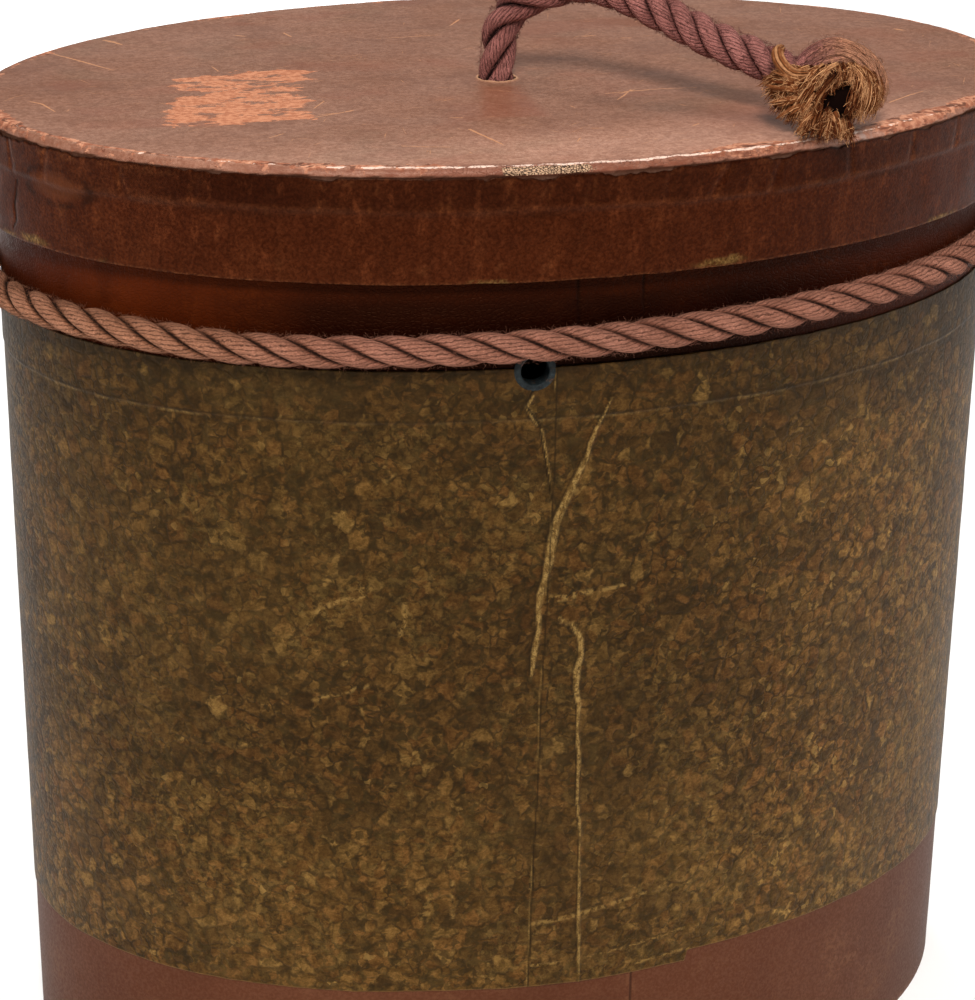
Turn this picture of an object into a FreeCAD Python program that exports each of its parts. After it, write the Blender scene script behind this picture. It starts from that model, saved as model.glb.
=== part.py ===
import FreeCAD, Part
import math
import os

V = FreeCAD.Vector
os.makedirs("parts", exist_ok=True)

# Oval hat box with a lift-off lid, a rope tied round its neck, one metal
# eyelet, and a rope lift through the middle of the lid.
# Millimetres. Origin: middle of the underside. +Z up, X along the long axis
# of the oval, front face towards -Y.

# ---------------------------------------------------------------- dimensions
LID_A, LID_B = 184.0, 126.4        # half length and half depth of the lid, outside
BODY_STEP = 5.7                    # body is this much smaller than the lid all round

TOTAL_H = 355.5                    # top of the lid
LID_RIM_BOTTOM = 318.8             # lower edge of the lid's rim
WALL_TOP = 351.8                   # top edge of the covered body wall
CORK_TOP, CORK_BOTTOM = 289.0, 64.2

BOARD = 2.6                        # thickness of the wall, rim and top boards
BASE_BOARD = 3.0
CLOTH = 0.45                       # leathercloth on the lid
BAND = 0.4                         # leathercloth on the body
CORK = 0.8                         # cork paper
LINING = 0.3                       # lining paper
NECK_LAP, BASE_LAP = 17.4, 5.0      # cork paper lies this far over each band

LID_EDGE_R = 2.95                  # rounding of the lid's top edge, outside
TAB_DROP = 13.0                    # top cover turned down over the rim
TURN_IN = 12.0                     # rim cover and neck band turned in
BASE_TURN = 17.9                   # base band turned under

EYE_X, EYE_Z = -31.0, 288.0        # middle of the eyelet on the front wall
EYE_BORE_R, EYE_BARREL_R = 4.55, 5.05
EYE_FLANGE_R, EYE_FLANGE_T = 6.8, 0.6
EYE_CLEAR = 0.1                    # hole in the wall over the barrel

SEAM_X, SEAM_GAP = -26.6, 0.3      # joint of the cork paper, down the front
BAND_SEAM_X = 8.0                  # joint of the base band, down the front
TAPE_W = 34.0                      # tape inside, over the wall joint

NECK_ROPE_R = 5.2                  # rope tied round the neck
NECK_ROPE_A, NECK_ROPE_B = 183.4, 125.8
NECK_ROPE_Z, NECK_ROPE_SLOPE = 298.8, 0.021
WHIP_HALF, WHIP_T = 12.0, 0.6      # twine binding over the rope's joint, at the back

LIFT_ROPE_R = 6.25                 # rope through the lid
LIFT_X, LIFT_Y = -8.0, -10.6
LIFT_HOLE_R = 6.4
STOP_Z, STOP_X, STOP_Y, STOP_H = 340.5, 15.0, 13.0, 12.0
END_C = (72.0, -106.0, 368.6)      # knotted, frayed end lying at the lid's edge
END_S = (21.0, 16.5, 13.4)
END_TURN = 12.0

# Route of the lift rope: straight up out of the hole, over, and down to the
# lid's front right edge. Each point is a corner that an arc rounds off.
LIFT_ROUTE = [
    (-8.00, -10.60, 355.5),
    (-8.00, -10.60, 369.5),
    (-5.08, -13.35, 379.5),
    (1.67, -22.08, 386.5),
    (14.25, -33.62, 392.0),
    (25.81, -48.79, 389.0),
    (40.41, -62.55, 380.8),
    (53.08, -78.05, 374.7),
    (66.18, -90.47, 370.5),
]

# ------------------------------------------------------------------- helpers


def ellipse_wire(off, z):
    """Plan outline: the lid's outer ellipse less `off` on both half axes."""
    e = Part.Ellipse(V(0, 0, z), LID_A - off, LID_B - off)
    return Part.Wire([e.toShape()])


def disc(off, z0, z1):
    return Part.Face(ellipse_wire(off, z0)).extrude(V(0, 0, z1 - z0))


def ring(off_out, off_in, z0, z1):
    f = Part.makeFace([ellipse_wire(off_out, z0), ellipse_wire(off_in, z0)],
                      "Part::FaceMakerBullseye")
    return f.extrude(V(0, 0, z1 - z0))


def join(*shapes):
    s = shapes[0]
    for t in shapes[1:]:
        s = s.fuse(t)
    s = s.removeSplitter()
    return s


def one_solid(name, s):
    sol = s.Solids
    if len(sol) != 1:
        sol = sorted(sol, key=lambda k: -k.Volume)
        print("NOTE", name, "has", len(s.Solids), "solids",
              [round(k.Volume, 3) for k in sol])
    return sol[0]


def round_top(s, z, r):
    edges = [e for e in s.Edges
             if abs(e.BoundBox.ZMin - z) < 1e-4 and abs(e.BoundBox.ZMax - z) < 1e-4]
    return s.makeFillet(r, edges)


def cyl(r, p, axis, length):
    return Part.makeCylinder(r, length, p, axis)


def lump(c, s, turn=0.0):
    """Closed ellipsoid with half sizes s about c, turned about Z by `turn` degrees."""
    m = FreeCAD.Matrix()
    m.scale(s[0], s[1], s[2])
    b = Part.makeSphere(1.0).transformGeometry(m)
    b.rotate(V(0, 0, 0), V(0, 0, 1), turn)
    b.translate(V(*c))
    return b


def route_wire(pts, label):
    """Straight runs joined by tangent arcs; radius = 0.45 of the shorter run
    over the tangent of half the turn."""
    p = [V(*q) for q in pts]
    edges, at, radii = [], p[0], []
    for i in range(1, len(p) - 1):
        a, b = p[i] - p[i - 1], p[i + 1] - p[i]
        la, lb = a.Length, b.Length
        a = V(a).normalize()
        b = V(b).normalize()
        turn = math.acos(max(-1.0, min(1.0, a.dot(b))))
        t = 0.45 * min(la, lb)
        r = t / math.tan(turn / 2.0)
        s, e = p[i] - a * t, p[i] + b * t
        bis = V(b - a).normalize()
        c = p[i] + bis * (r / math.cos(turn / 2.0))
        m = c - bis * r
        edges.append(Part.LineSegment(at, s).toShape())
        edges.append(Part.Arc(s, m, e).toShape())
        at = e
        radii.append(round(r, 1))
    edges.append(Part.LineSegment(at, p[-1]).toShape())
    w = Part.Wire(edges)
    print(label, "radii", radii, "length", round(w.Length, 1))
    return w


def tube(wire, r, start, direction, label, frenet=False):
    prof = Part.Wire([Part.makeCircle(r, start, direction)])
    s = wire.makePipeShell([prof], True, frenet)
    want = math.pi * r * r * wire.Length
    print(label, "volume", round(s.Volume), "section x length", round(want))
    return s


def arc_edge(p0, t0, p1):
    """Arc leaving p0 along t0 and ending at p1."""
    ch = p1 - p0
    c = V(ch).normalize()
    ang = math.acos(max(-1.0, min(1.0, c.dot(V(t0).normalize()))))
    side = V(t0) - c * c.dot(t0)
    side.normalize()
    m = p0 + ch * 0.5 + side * (ch.Length / 2.0 * math.tan(ang / 2.0))
    return Part.Arc(p0, m, p1).toShape()


def ellipse_arcs(a, b, params):
    """Tangent arcs (biarcs) that follow an ellipse through the given angles."""
    out = []
    for u0, u1 in zip(params[:-1], params[1:]):
        p0 = V(a * math.cos(u0), b * math.sin(u0), 0)
        p1 = V(a * math.cos(u1), b * math.sin(u1), 0)
        t0 = V(-a * math.sin(u0), b * math.cos(u0), 0).normalize()
        t1 = V(-a * math.sin(u1), b * math.cos(u1), 0).normalize()
        v = p1 - p0
        k = 2.0 * (1.0 - t0.dot(t1))
        vt = v.dot(t0 + t1)
        d = (-vt + math.sqrt(vt * vt + k * v.dot(v))) / k
        q = (p0 + t0 * d + p1 - t1 * d) * 0.5
        out.append(arc_edge(p0, t0, q))
        tq = V(p1 - t1 * d - q).normalize()
        out.append(arc_edge(q, tq, p1))
    return out


# ------------------------------------------------------------- derived sizes
S = BODY_STEP                          # body's outermost layer (cork)
cork_out = S
band_out = S + 0.4
wall_out = S + CORK                    # outside of the wall board
wall_in = wall_out + BOARD             # inside of the wall board
lining_in = wall_in + LINING
tape_in = lining_in + 0.4
band_turn_in = wall_in + BAND

base_cover_t = 0.5
wall_bottom = base_cover_t + BAND      # 0.9
wall_board_top = WALL_TOP - BAND       # 351.4

parts = {}

# ---------------------------------------------------- eyelet position, front
wa, wb = LID_A - cork_out, LID_B - cork_out
ey = -wb * math.sqrt(1.0 - (EYE_X / wa) ** 2)
EYE_P = V(EYE_X, ey, EYE_Z)
EYE_N = V(EYE_X / wa ** 2, ey / wb ** 2, 0).normalize()
eye_hole = cyl(EYE_BARREL_R + EYE_CLEAR, EYE_P - EYE_N * 9.0, EYE_N, 14.0)
print("eyelet at", [round(c, 3) for c in EYE_P], "normal", [round(c, 5) for c in EYE_N])

# ----------------------------------------------------------------- body wall
# Board bent round, with its bevelled ends glued, and the hole for the eyelet.
wall = ring(wall_out, wall_in, wall_bottom, wall_board_top).cut(eye_hole)
parts["wall_board"] = wall

parts["base_board"] = disc(wall_in, wall_bottom, wall_bottom + BASE_BOARD)

# Leathercloth disc glued under the base; it dips inside the turned-under band.
parts["base_cover"] = join(disc(wall_out, 0.0, base_cover_t),
                           disc(band_out + BASE_TURN + 0.1, base_cover_t, wall_bottom))

# Leathercloth band round the bottom of the wall, turned under the base.
bb = join(ring(band_out, wall_out, base_cover_t, CORK_BOTTOM + BASE_LAP),
          ring(band_out, band_out + BASE_TURN, base_cover_t, wall_bottom))
slit = Part.makeBox(SEAM_GAP, 60.0, 100.0, V(BAND_SEAM_X, -150.0, -5.0))
parts["base_band"] = bb.cut(slit)

# Leathercloth band round the neck, over the top edge and turned in.
nb = join(ring(band_out, wall_out, CORK_TOP - NECK_LAP, WALL_TOP),
          ring(band_out, band_turn_in, wall_board_top, WALL_TOP),
          ring(wall_in, band_turn_in, WALL_TOP - TURN_IN, WALL_TOP))
parts["neck_band"] = nb.cut(eye_hole)

# Cork paper round the wall, lapped over both bands; its ends meet at the front.
ck = join(ring(cork_out, wall_out, CORK_BOTTOM, CORK_TOP))
ck = ck.cut(ring(band_out, wall_out + 1.0, CORK_TOP - NECK_LAP, CORK_TOP + 1.0))
ck = ck.cut(ring(band_out, wall_out + 1.0, CORK_BOTTOM - 1.0, CORK_BOTTOM + BASE_LAP))
seam = Part.makeBox(SEAM_GAP, 60.0, 260.0, V(SEAM_X - SEAM_GAP / 2, -150.0, 50.0))
parts["cork_paper"] = ck.cut(eye_hole).cut(seam)

# Lining paper inside, and tape over the joint of the wall board.
base_top = wall_bottom + BASE_BOARD
parts["wall_lining"] = ring(wall_in, lining_in, base_top,
                            WALL_TOP - TURN_IN - 0.05).cut(eye_hole)
parts["base_lining"] = disc(lining_in + 0.05, base_top, base_top + LINING)
tape = ring(lining_in, tape_in, base_top + LINING + 0.1, WALL_TOP - TURN_IN - 6.0)
tape = tape.common(Part.makeBox(TAPE_W, 100.0, 400.0,
                                V(EYE_X - TAPE_W / 2, -150.0, -5.0)))
parts["seam_tape"] = tape.cut(eye_hole)

# -------------------------------------------------------------------- eyelet
# Revolved about its own axis; t runs outwards from the face of the cork.
t_in = -(tape_in - cork_out)           # inner face of the tape, at the axis
w0, w1 = t_in - 0.15, t_in - 0.65      # washer, clear of the hollow of the wall
r0, r1, r2 = EYE_BORE_R, EYE_BARREL_R, EYE_FLANGE_R


def revolve(profile, p, axis):
    """profile: (radius, t) pairs, closed polygon, turned about the axis at p."""
    side = V(0, 0, 1)
    pts = [p + side * r + axis * t for r, t in profile]
    pts.append(pts[0])
    return Part.Face(Part.makePolygon(pts)).revolve(p, axis, 360)


parts["eyelet"] = revolve(
    [(r0, w1 - 0.30), (r0 + 0.35, w1 - 0.60), (r1 + 0.9, w1 - 0.60), (r1 + 1.3, w1 - 0.30),
     (r1 + 1.3, w1 - 0.02), (r1, w1 - 0.02), (r1, 0.02), (r2, 0.02), (r2, 0.22),
     (r2 - 0.45, EYE_FLANGE_T - 0.06), (r2 - 1.0, EYE_FLANGE_T), (r0 + 0.5, EYE_FLANGE_T),
     (r0 + 0.15, EYE_FLANGE_T - 0.12), (r0, EYE_FLANGE_T - 0.40)], EYE_P, EYE_N)
parts["eyelet_washer"] = revolve(
    [(r1 + 0.08, w0), (r2 + 0.7, w0), (r2 + 0.7, w1 + 0.1), (r2 + 0.5, w1),
     (r1 + 0.08, w1)], EYE_P, EYE_N)
EYE_LEN = (EYE_FLANGE_T - 0.40) - (w1 - 0.30)
mid = EYE_P + EYE_N * ((EYE_FLANGE_T - 0.40 + w1 - 0.30) / 2)
print("eyelet bore length", round(EYE_LEN, 3), "mid", [round(c / 1000, 6) for c in mid])

# ----------------------------------------------------------------- neck rope
# One turn round the neck in a slightly tipped plane. The ends meet at the
# back, where the rope is drawn down and bound with twine.
tip = math.atan(NECK_ROPE_SLOPE)
na, nbb = NECK_ROPE_A / math.cos(tip), NECK_ROPE_B
R_back = na * na / nbb
back = V(0, nbb, 0)
cen = V(0, nbb - R_back, 0)


def back_arc(s0, s1):
    def q(s):
        w = s / R_back
        return cen + V(-math.sin(w), math.cos(w), 0) * R_back
    return Part.Arc(q(s0), q((s0 + s1) / 2), q(s1)).toShape(), q(s0), \
        V(-math.cos(s0 / R_back), -math.sin(s0 / R_back), 0)


def ring_tube(edges, r):
    w = Part.Wire(edges)
    e = w.Edges[0]
    t = e.tangentAt(e.FirstParameter)
    return tube(w, r, e.valueAt(e.FirstParameter), t, "neck rope r %.2f" % r, True)


def seg_tube(s0, s1, r):
    e, p, t = back_arc(s0, s1)
    pr = Part.Wire([Part.makeCircle(r, p, t)])
    return Part.Wire([e]).makePipeShell([pr], True, True)


e_first, pa, ta = back_arc(WHIP_HALF, WHIP_HALF + 6.0)
e_last, pb, tb = back_arc(-WHIP_HALF - 6.0, -WHIP_HALF)
p_end = back_arc(WHIP_HALF, WHIP_HALF + 6.0)[0].valueAt(
    back_arc(WHIP_HALF, WHIP_HALF + 6.0)[0].LastParameter)
# start and end angles of the biarc part: where the short back arc leaves off
w = (WHIP_HALF + 6.0) / R_back
start = cen + V(-math.sin(w), math.cos(w), 0) * R_back
t_start = V(-math.cos(w), -math.sin(w), 0)
stop = V(-start.x, start.y, 0)
params = [math.radians(d) for d in (118, 140, 158, 172, 188, 202, 220, 245, 270,
                                    295, 320, 338, 352, 368, 382, 400, 422)]
first = V(na * math.cos(params[0]), nbb * math.sin(params[0]), 0)
t_first = V(-na * math.sin(params[0]), nbb * math.cos(params[0]), 0).normalize()


def biarc(p0, t0, p1, t1):
    v = p1 - p0
    k = 2.0 * (1.0 - t0.dot(t1))
    vt = v.dot(t0 + t1)
    d = (-vt + math.sqrt(vt * vt + k * v.dot(v))) / k
    q = (p0 + t0 * d + p1 - t1 * d) * 0.5
    return [arc_edge(p0, t0, q), arc_edge(q, V(p1 - t1 * d - q).normalize(), p1)]


last = V(na * math.cos(params[-1]), nbb * math.sin(params[-1]), 0)
t_last = V(-na * math.sin(params[-1]), nbb * math.cos(params[-1]), 0).normalize()
t_stop = V(-math.cos(w), math.sin(w), 0)
edges = [e_first] + biarc(start, t_start, first, t_first)
edges += ellipse_arcs(na, nbb, params)
edges += biarc(last, t_last, stop, t_stop) + [e_last]
main = ring_tube(edges, NECK_ROPE_R)
inner_r = NECK_ROPE_R - WHIP_T
left = seg_tube(0.15, WHIP_HALF, inner_r)
right = seg_tube(-WHIP_HALF, -0.15, inner_r)
rope = join(main, left, right)
whip = seg_tube(-WHIP_HALF + 0.1, WHIP_HALF - 0.1, NECK_ROPE_R).cut(
    seg_tube(-WHIP_HALF - 1.0, WHIP_HALF + 1.0, inner_r))
for s in (rope, whip):
    s.rotate(V(0, 0, 0), V(0, 1, 0), -math.degrees(tip))
    s.translate(V(0, 0, NECK_ROPE_Z))
parts["neck_rope"] = rope
parts["neck_rope_whipping"] = whip

# ----------------------------------------------------------------- lid shell
rim_out = CLOTH * 2                    # outside of the rim board
rim_in = rim_out + BOARD
top_z1 = TOTAL_H - CLOTH               # top of the top board
top_z0 = top_z1 - BOARD
lift_hole = cyl(LIFT_HOLE_R, V(LIFT_X, LIFT_Y, 300.0), V(0, 0, 1), 100.0)

board = round_top(disc(rim_out, top_z0, top_z1), top_z1, LID_EDGE_R - CLOTH)
parts["lid_top_board"] = board.cut(lift_hole)

tab_z = TOTAL_H - TAB_DROP
outer = round_top(disc(CLOTH, tab_z, TOTAL_H), TOTAL_H, LID_EDGE_R)
inner = round_top(disc(rim_out, tab_z - 1.0, top_z1), top_z1, LID_EDGE_R - CLOTH)
parts["lid_top_cover"] = outer.cut(inner).cut(lift_hole)

rim_bottom = LID_RIM_BOTTOM + CLOTH
parts["lid_rim_board"] = ring(rim_out, rim_in, rim_bottom, top_z0)

cover_top = TOTAL_H - LID_EDGE_R - 0.65
rc = join(ring(CLOTH, rim_out, LID_RIM_BOTTOM, tab_z),
          ring(0.0, CLOTH, tab_z - 1.5, cover_top),
          ring(CLOTH, rim_in + CLOTH, LID_RIM_BOTTOM, rim_bottom),
          ring(rim_in, rim_in + CLOTH, LID_RIM_BOTTOM, LID_RIM_BOTTOM + TURN_IN))
parts["lid_rim_cover"] = rc

parts["lid_lining_disc"] = disc(rim_in, top_z0 - LINING, top_z0).cut(lift_hole)
parts["lid_rim_lining"] = ring(rim_in, rim_in + LINING,
                               LID_RIM_BOTTOM + TURN_IN + 0.05, top_z0 - LINING)

# ----------------------------------------------------------------- lift rope
lift = route_wire(LIFT_ROUTE, "lift rope")
parts["lid_rope"] = tube(lift, LIFT_ROPE_R, V(*LIFT_ROUTE[0]), V(0, 0, 1), "lift rope")

knot_top = STOP_Z + STOP_H - 1.0
parts["lid_rope_tail"] = cyl(LIFT_ROPE_R, V(LIFT_X, LIFT_Y, knot_top), V(0, 0, 1),
                             TOTAL_H - knot_top)
stopper = lump((LIFT_X, LIFT_Y, STOP_Z), (STOP_X, STOP_Y, STOP_H), 20.0)
trim = Part.makeBox(80, 80, 20, V(LIFT_X - 40, LIFT_Y - 40, knot_top))
parts["lid_stopper_knot"] = stopper.cut(trim)

end = lump(END_C, END_S, END_TURN)
floor = Part.makeBox(120, 120, 40, V(END_C[0] - 60, END_C[1] - 60, TOTAL_H + 0.1 - 40))
parts["lid_rope_end_knot"] = end.cut(floor)

# -------------------------------------------------------------------- export
for name, shape in parts.items():
    shape = one_solid(name, shape)
    if not shape.isValid():
        print("INVALID", name)
    shape.exportStep("parts/%s.step" % name)
    bb_ = shape.BoundBox
    print("%-20s vol %10.1f  x %.2f..%.2f y %.2f..%.2f z %.2f..%.2f" % (
        name, shape.Volume, bb_.XMin, bb_.XMax, bb_.YMin, bb_.YMax, bb_.ZMin, bb_.ZMax))
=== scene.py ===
import math
import bpy
import numpy as np
from mathutils import Vector, Matrix, noise


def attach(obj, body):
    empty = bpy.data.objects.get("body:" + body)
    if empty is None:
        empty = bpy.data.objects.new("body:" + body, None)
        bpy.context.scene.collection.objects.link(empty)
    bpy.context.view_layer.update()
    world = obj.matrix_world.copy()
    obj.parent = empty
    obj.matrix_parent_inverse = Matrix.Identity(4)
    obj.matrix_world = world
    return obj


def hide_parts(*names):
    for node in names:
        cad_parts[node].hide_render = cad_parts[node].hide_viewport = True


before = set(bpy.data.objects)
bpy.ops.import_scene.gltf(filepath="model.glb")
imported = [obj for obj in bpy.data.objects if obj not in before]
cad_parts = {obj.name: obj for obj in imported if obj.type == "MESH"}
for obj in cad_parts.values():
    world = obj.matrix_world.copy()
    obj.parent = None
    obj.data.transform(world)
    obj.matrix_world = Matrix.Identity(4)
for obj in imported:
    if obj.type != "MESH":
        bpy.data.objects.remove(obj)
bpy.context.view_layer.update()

MM = 0.001
LA, LB = 184.0, 126.4            # lid outer half axes, mm; every layer is an offset inside it
TOP = 355.5
rng = np.random.default_rng(20)


def clamp01(x):
    return np.clip(x, 0.0, 1.0)


def smooth(e0, e1, x):
    t = clamp01((np.asarray(x, float) - e0) / (e1 - e0))
    return t * t * (3 - 2 * t)


# ------------------------------------------------------------------ camera
CAM_POS = Vector((-0.304703, -0.881115, 0.570077))
c_fwd = Vector((0.29787112, 0.87853973, -0.37341765)).normalized()
c_up = Vector((0.1085506, 0.35746468, 0.92759677))
c_right = c_fwd.cross(c_up).normalized()
c_up = c_right.cross(c_fwd).normalized()
cam_data = bpy.data.cameras.new("camera")
cam = bpy.data.objects.new("camera", cam_data)
bpy.context.scene.collection.objects.link(cam)
rot = Matrix((c_right, c_up, -c_fwd)).transposed().to_4x4()
cam.matrix_world = Matrix.Translation(CAM_POS) @ rot
cam_data.sensor_fit = "AUTO"
cam_data.sensor_width = 36.0
cam_data.lens = 98.23
cam_data.clip_start = 0.02
cam_data.clip_end = 30.0
cam_data.dof.use_dof = False
bpy.context.scene.camera = cam


# ------------------------------------------------------------------ noise on arrays
def vnoise(x, y, z=0.0, seed=0):
    """Smooth value noise, -1..1, on arrays (lattice of hashed values)."""
    x = np.asarray(x, float); y = np.asarray(y, float)
    z = np.zeros_like(x) + z
    xi, yi, zi = np.floor(x), np.floor(y), np.floor(z)
    fx, fy, fz = x - xi, y - yi, z - zi
    fx, fy, fz = [f * f * f * (f * (f * 6 - 15) + 10) for f in (fx, fy, fz)]
    xi, yi, zi = xi.astype(np.int64), yi.astype(np.int64), zi.astype(np.int64)

    def h(a, b, c):
        v = (a * 73856093) ^ (b * 19349663) ^ (c * 83492791) ^ (seed * 2654435761)
        v = (v ^ (v >> 13)) * 1274126177
        v = v & 0x7fffffff
        v = (v ^ (v >> 11)) & 0xffff
        return v / 32767.5 - 1.0
    out = 0.0
    for dx in (0, 1):
        for dy in (0, 1):
            for dz in (0, 1):
                w = (fx if dx else 1 - fx) * (fy if dy else 1 - fy) * (fz if dz else 1 - fz)
                out = out + w * h(xi + dx, yi + dy, zi + dz)
    return out


def fbm(x, y, z=0.0, seed=0, octaves=4, gain=0.5):
    s, a, k, n = 0.0, 1.0, 1.0, 0.0
    for o in range(octaves):
        s = s + a * vnoise(np.asarray(x) * k, np.asarray(y) * k, np.asarray(z) * k, seed + 17 * o)
        n += a
        a *= gain
        k *= 2.03
    return s / n


# ------------------------------------------------------------------ mesh makers
def make_mesh(name, verts_mm, faces, attrs=None, uv=None, smooth_shade=True):
    me = bpy.data.meshes.new(name)
    v = np.ascontiguousarray(np.asarray(verts_mm, float) * MM)
    f = np.asarray(faces, dtype=np.int32)
    me.vertices.add(len(v))
    me.vertices.foreach_set("co", v.ravel())
    n, k = f.shape
    me.loops.add(n * k)
    me.loops.foreach_set("vertex_index", f.ravel())
    me.polygons.add(n)
    me.polygons.foreach_set("loop_start", np.arange(0, n * k, k, dtype=np.int32))
    me.polygons.foreach_set("loop_total", np.full(n, k, dtype=np.int32))
    me.update(calc_edges=True)
    me.validate()
    if smooth_shade:
        me.polygons.foreach_set("use_smooth", np.ones(len(me.polygons), dtype=bool))
    for key, arr in (attrs or {}).items():
        arr = np.asarray(arr, float)
        if arr.ndim == 1:
            a = me.attributes.new(key, "FLOAT", "POINT")
            a.data.foreach_set("value", arr.astype(np.float32))
        else:
            a = me.attributes.new(key, "FLOAT_VECTOR", "POINT")
            a.data.foreach_set("vector", arr.astype(np.float32).ravel())
    ob = bpy.data.objects.new(name, me)
    bpy.context.scene.collection.objects.link(ob)
    return ob


def grid_faces(rows, cols, wrap_cols=True, wrap_rows=False, base=0, flip=False):
    i = np.arange(rows if wrap_rows else rows - 1)
    j = np.arange(cols if wrap_cols else cols - 1)
    I, J = np.meshgrid(i, j, indexing="ij")
    I2, J2 = (I + 1) % rows, (J + 1) % cols
    q = np.stack([I * cols + J, I * cols + J2, I2 * cols + J2, I2 * cols + J], -1).reshape(-1, 4)
    if flip:
        q = q[:, ::-1]
    return q + base


# ellipse by length along it; s = 0 at the middle of the front (-Y), + towards +X
_t = np.linspace(-math.pi, math.pi, 40001)
_x0, _y0 = 178.0 * np.sin(_t), -120.4 * np.cos(_t)
_s = np.concatenate([[0], np.cumsum(np.hypot(np.diff(_x0), np.diff(_y0)))])
_s -= np.interp(0.0, _t, _s)
PERIM = _s[-1] - _s[0]


def t_of_s(s):
    return np.interp(s, _s, _t)


def s_of_x(x, half=178.0):
    """Length along the front for a point of that x on the front."""
    return np.interp(np.arcsin(np.clip(np.asarray(x, float) / half, -1, 1)), _t, _s)


def plan(off, t):
    return (LA - off) * np.sin(t), -(LB - off) * np.cos(t)


def spaced(lo, hi, base, fine):
    """Points lo..hi at step base, finer inside each (a, b, step) range."""
    out, x = [lo], lo
    while x < hi - 1e-9:
        st = base
        for a, b, f in fine:
            if a - base < x < b:
                st = min(st, f if a <= x else max(f, (a - x) + 1e-6))
        x = min(hi, x + st)
        out.append(x)
    if hi - out[-2] < 0.3 * base and len(out) > 2:
        out.pop(-2)
    return np.array(out)


EYE_C = np.array([-31.0, -118.862, 288.0])
EYE_N = np.array([-0.11867, -0.99293, 0.0])
EYE_T = np.array([0.99293, -0.11867, 0.0])


def punch(verts, faces, r):
    """Opens the eyelet's hole: faces inside it go, its rim is drawn round."""
    d = verts - EYE_C
    a, c, w = d @ EYE_N, d @ EYE_T, d[:, 2]
    q = np.hypot(c, w)
    inside = (q < r) & (np.abs(a) < 12)
    gone = inside[faces].all(1)
    k = inside & (q > 1e-6)
    f = r / q[k]
    verts = verts.copy()
    verts[k] = EYE_C + a[k, None] * EYE_N + (c[k] * f)[:, None] * EYE_T + np.stack([0 * f, 0 * f, w[k] * f], -1)
    return verts, faces[~gone]


def loft(name, s, rows, attrs_fn=None, flip=False, hole=None):
    """Closed-section ring: rows is a list of arrays/values (off, z) for each column s."""
    t = t_of_s(s)
    V, O, Z = [], [], []
    for off, z in rows:
        off = np.zeros_like(s) + off
        z = np.zeros_like(s) + z
        x, y = plan(off, t)
        V.append(np.stack([x, y, z], -1))
        O.append(off); Z.append(z)
    R, C = len(rows), len(s)
    verts = np.array(V).reshape(-1, 3)
    faces = grid_faces(R, C, True, True, flip=flip)
    attrs = {}
    if attrs_fn:
        attrs = attrs_fn(np.tile(s, (R, 1)), np.array(Z), np.array(O))
        attrs = {k: (v.reshape(-1) if v.ndim == 2 else v.reshape(-1, v.shape[-1]))
                 for k, v in attrs.items()}
    if hole:
        verts, faces = punch(verts, faces, hole)
        used = np.zeros(len(verts), bool)
        used[faces.ravel()] = True
        new = np.cumsum(used) - 1
        verts, faces = verts[used], new[faces]
        attrs = {k: v[used] for k, v in attrs.items()}
    return make_mesh(name, verts, faces, attrs)


def line_field(px, py, lines, reach=4.0):
    """Signed distance over width to the nearest of lines [(points, width)], and a mask
    that is 1 near a line and falls to 0 at its ends. Arrays of any shape."""
    sd = np.full(px.shape, 9.0)
    near = np.zeros(px.shape)
    best = np.full(px.shape, 1e9)
    for pts, width in lines:
        p = np.array(pts, float)
        w = np.broadcast_to(np.asarray(width, float), (len(p),))
        for i in range(len(p) - 1):
            a, b = p[i], p[i + 1]
            lo, hi = np.minimum(a, b) - reach * 2, np.maximum(a, b) + reach * 2
            m = (px > lo[0]) & (px < hi[0]) & (py > lo[1]) & (py < hi[1])
            if not m.any():
                continue
            x, y = px[m], py[m]
            d = b - a
            L = math.hypot(*d)
            u = ((x - a[0]) * d[0] + (y - a[1]) * d[1]) / (L * L)
            uc = np.clip(u, 0, 1)
            qx, qy = a[0] + uc * d[0], a[1] + uc * d[1]
            dist = np.hypot(x - qx, y - qy)
            side = np.sign((x - a[0]) * d[1] - (y - a[1]) * d[0])
            side[side == 0] = 1
            ww = w[i] + (w[i + 1] - w[i]) * uc
            endfade = np.ones_like(u)
            if i == 0:
                endfade = np.where(u < 0, 0.0, endfade)
            if i == len(p) - 2:
                endfade = np.where(u > 1, 0.0, endfade)
            bb = best[m]
            take = dist < bb
            bb[take] = dist[take]
            best[m] = bb
            s_ = sd[m]; s_[take] = (side * dist / ww)[take]; sd[m] = s_
            n_ = near[m]
            n_[take] = (np.where(dist < reach, 1.0, 0.0) * endfade)[take]
            near[m] = n_
    return np.clip(sd, -9, 9), near


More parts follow.
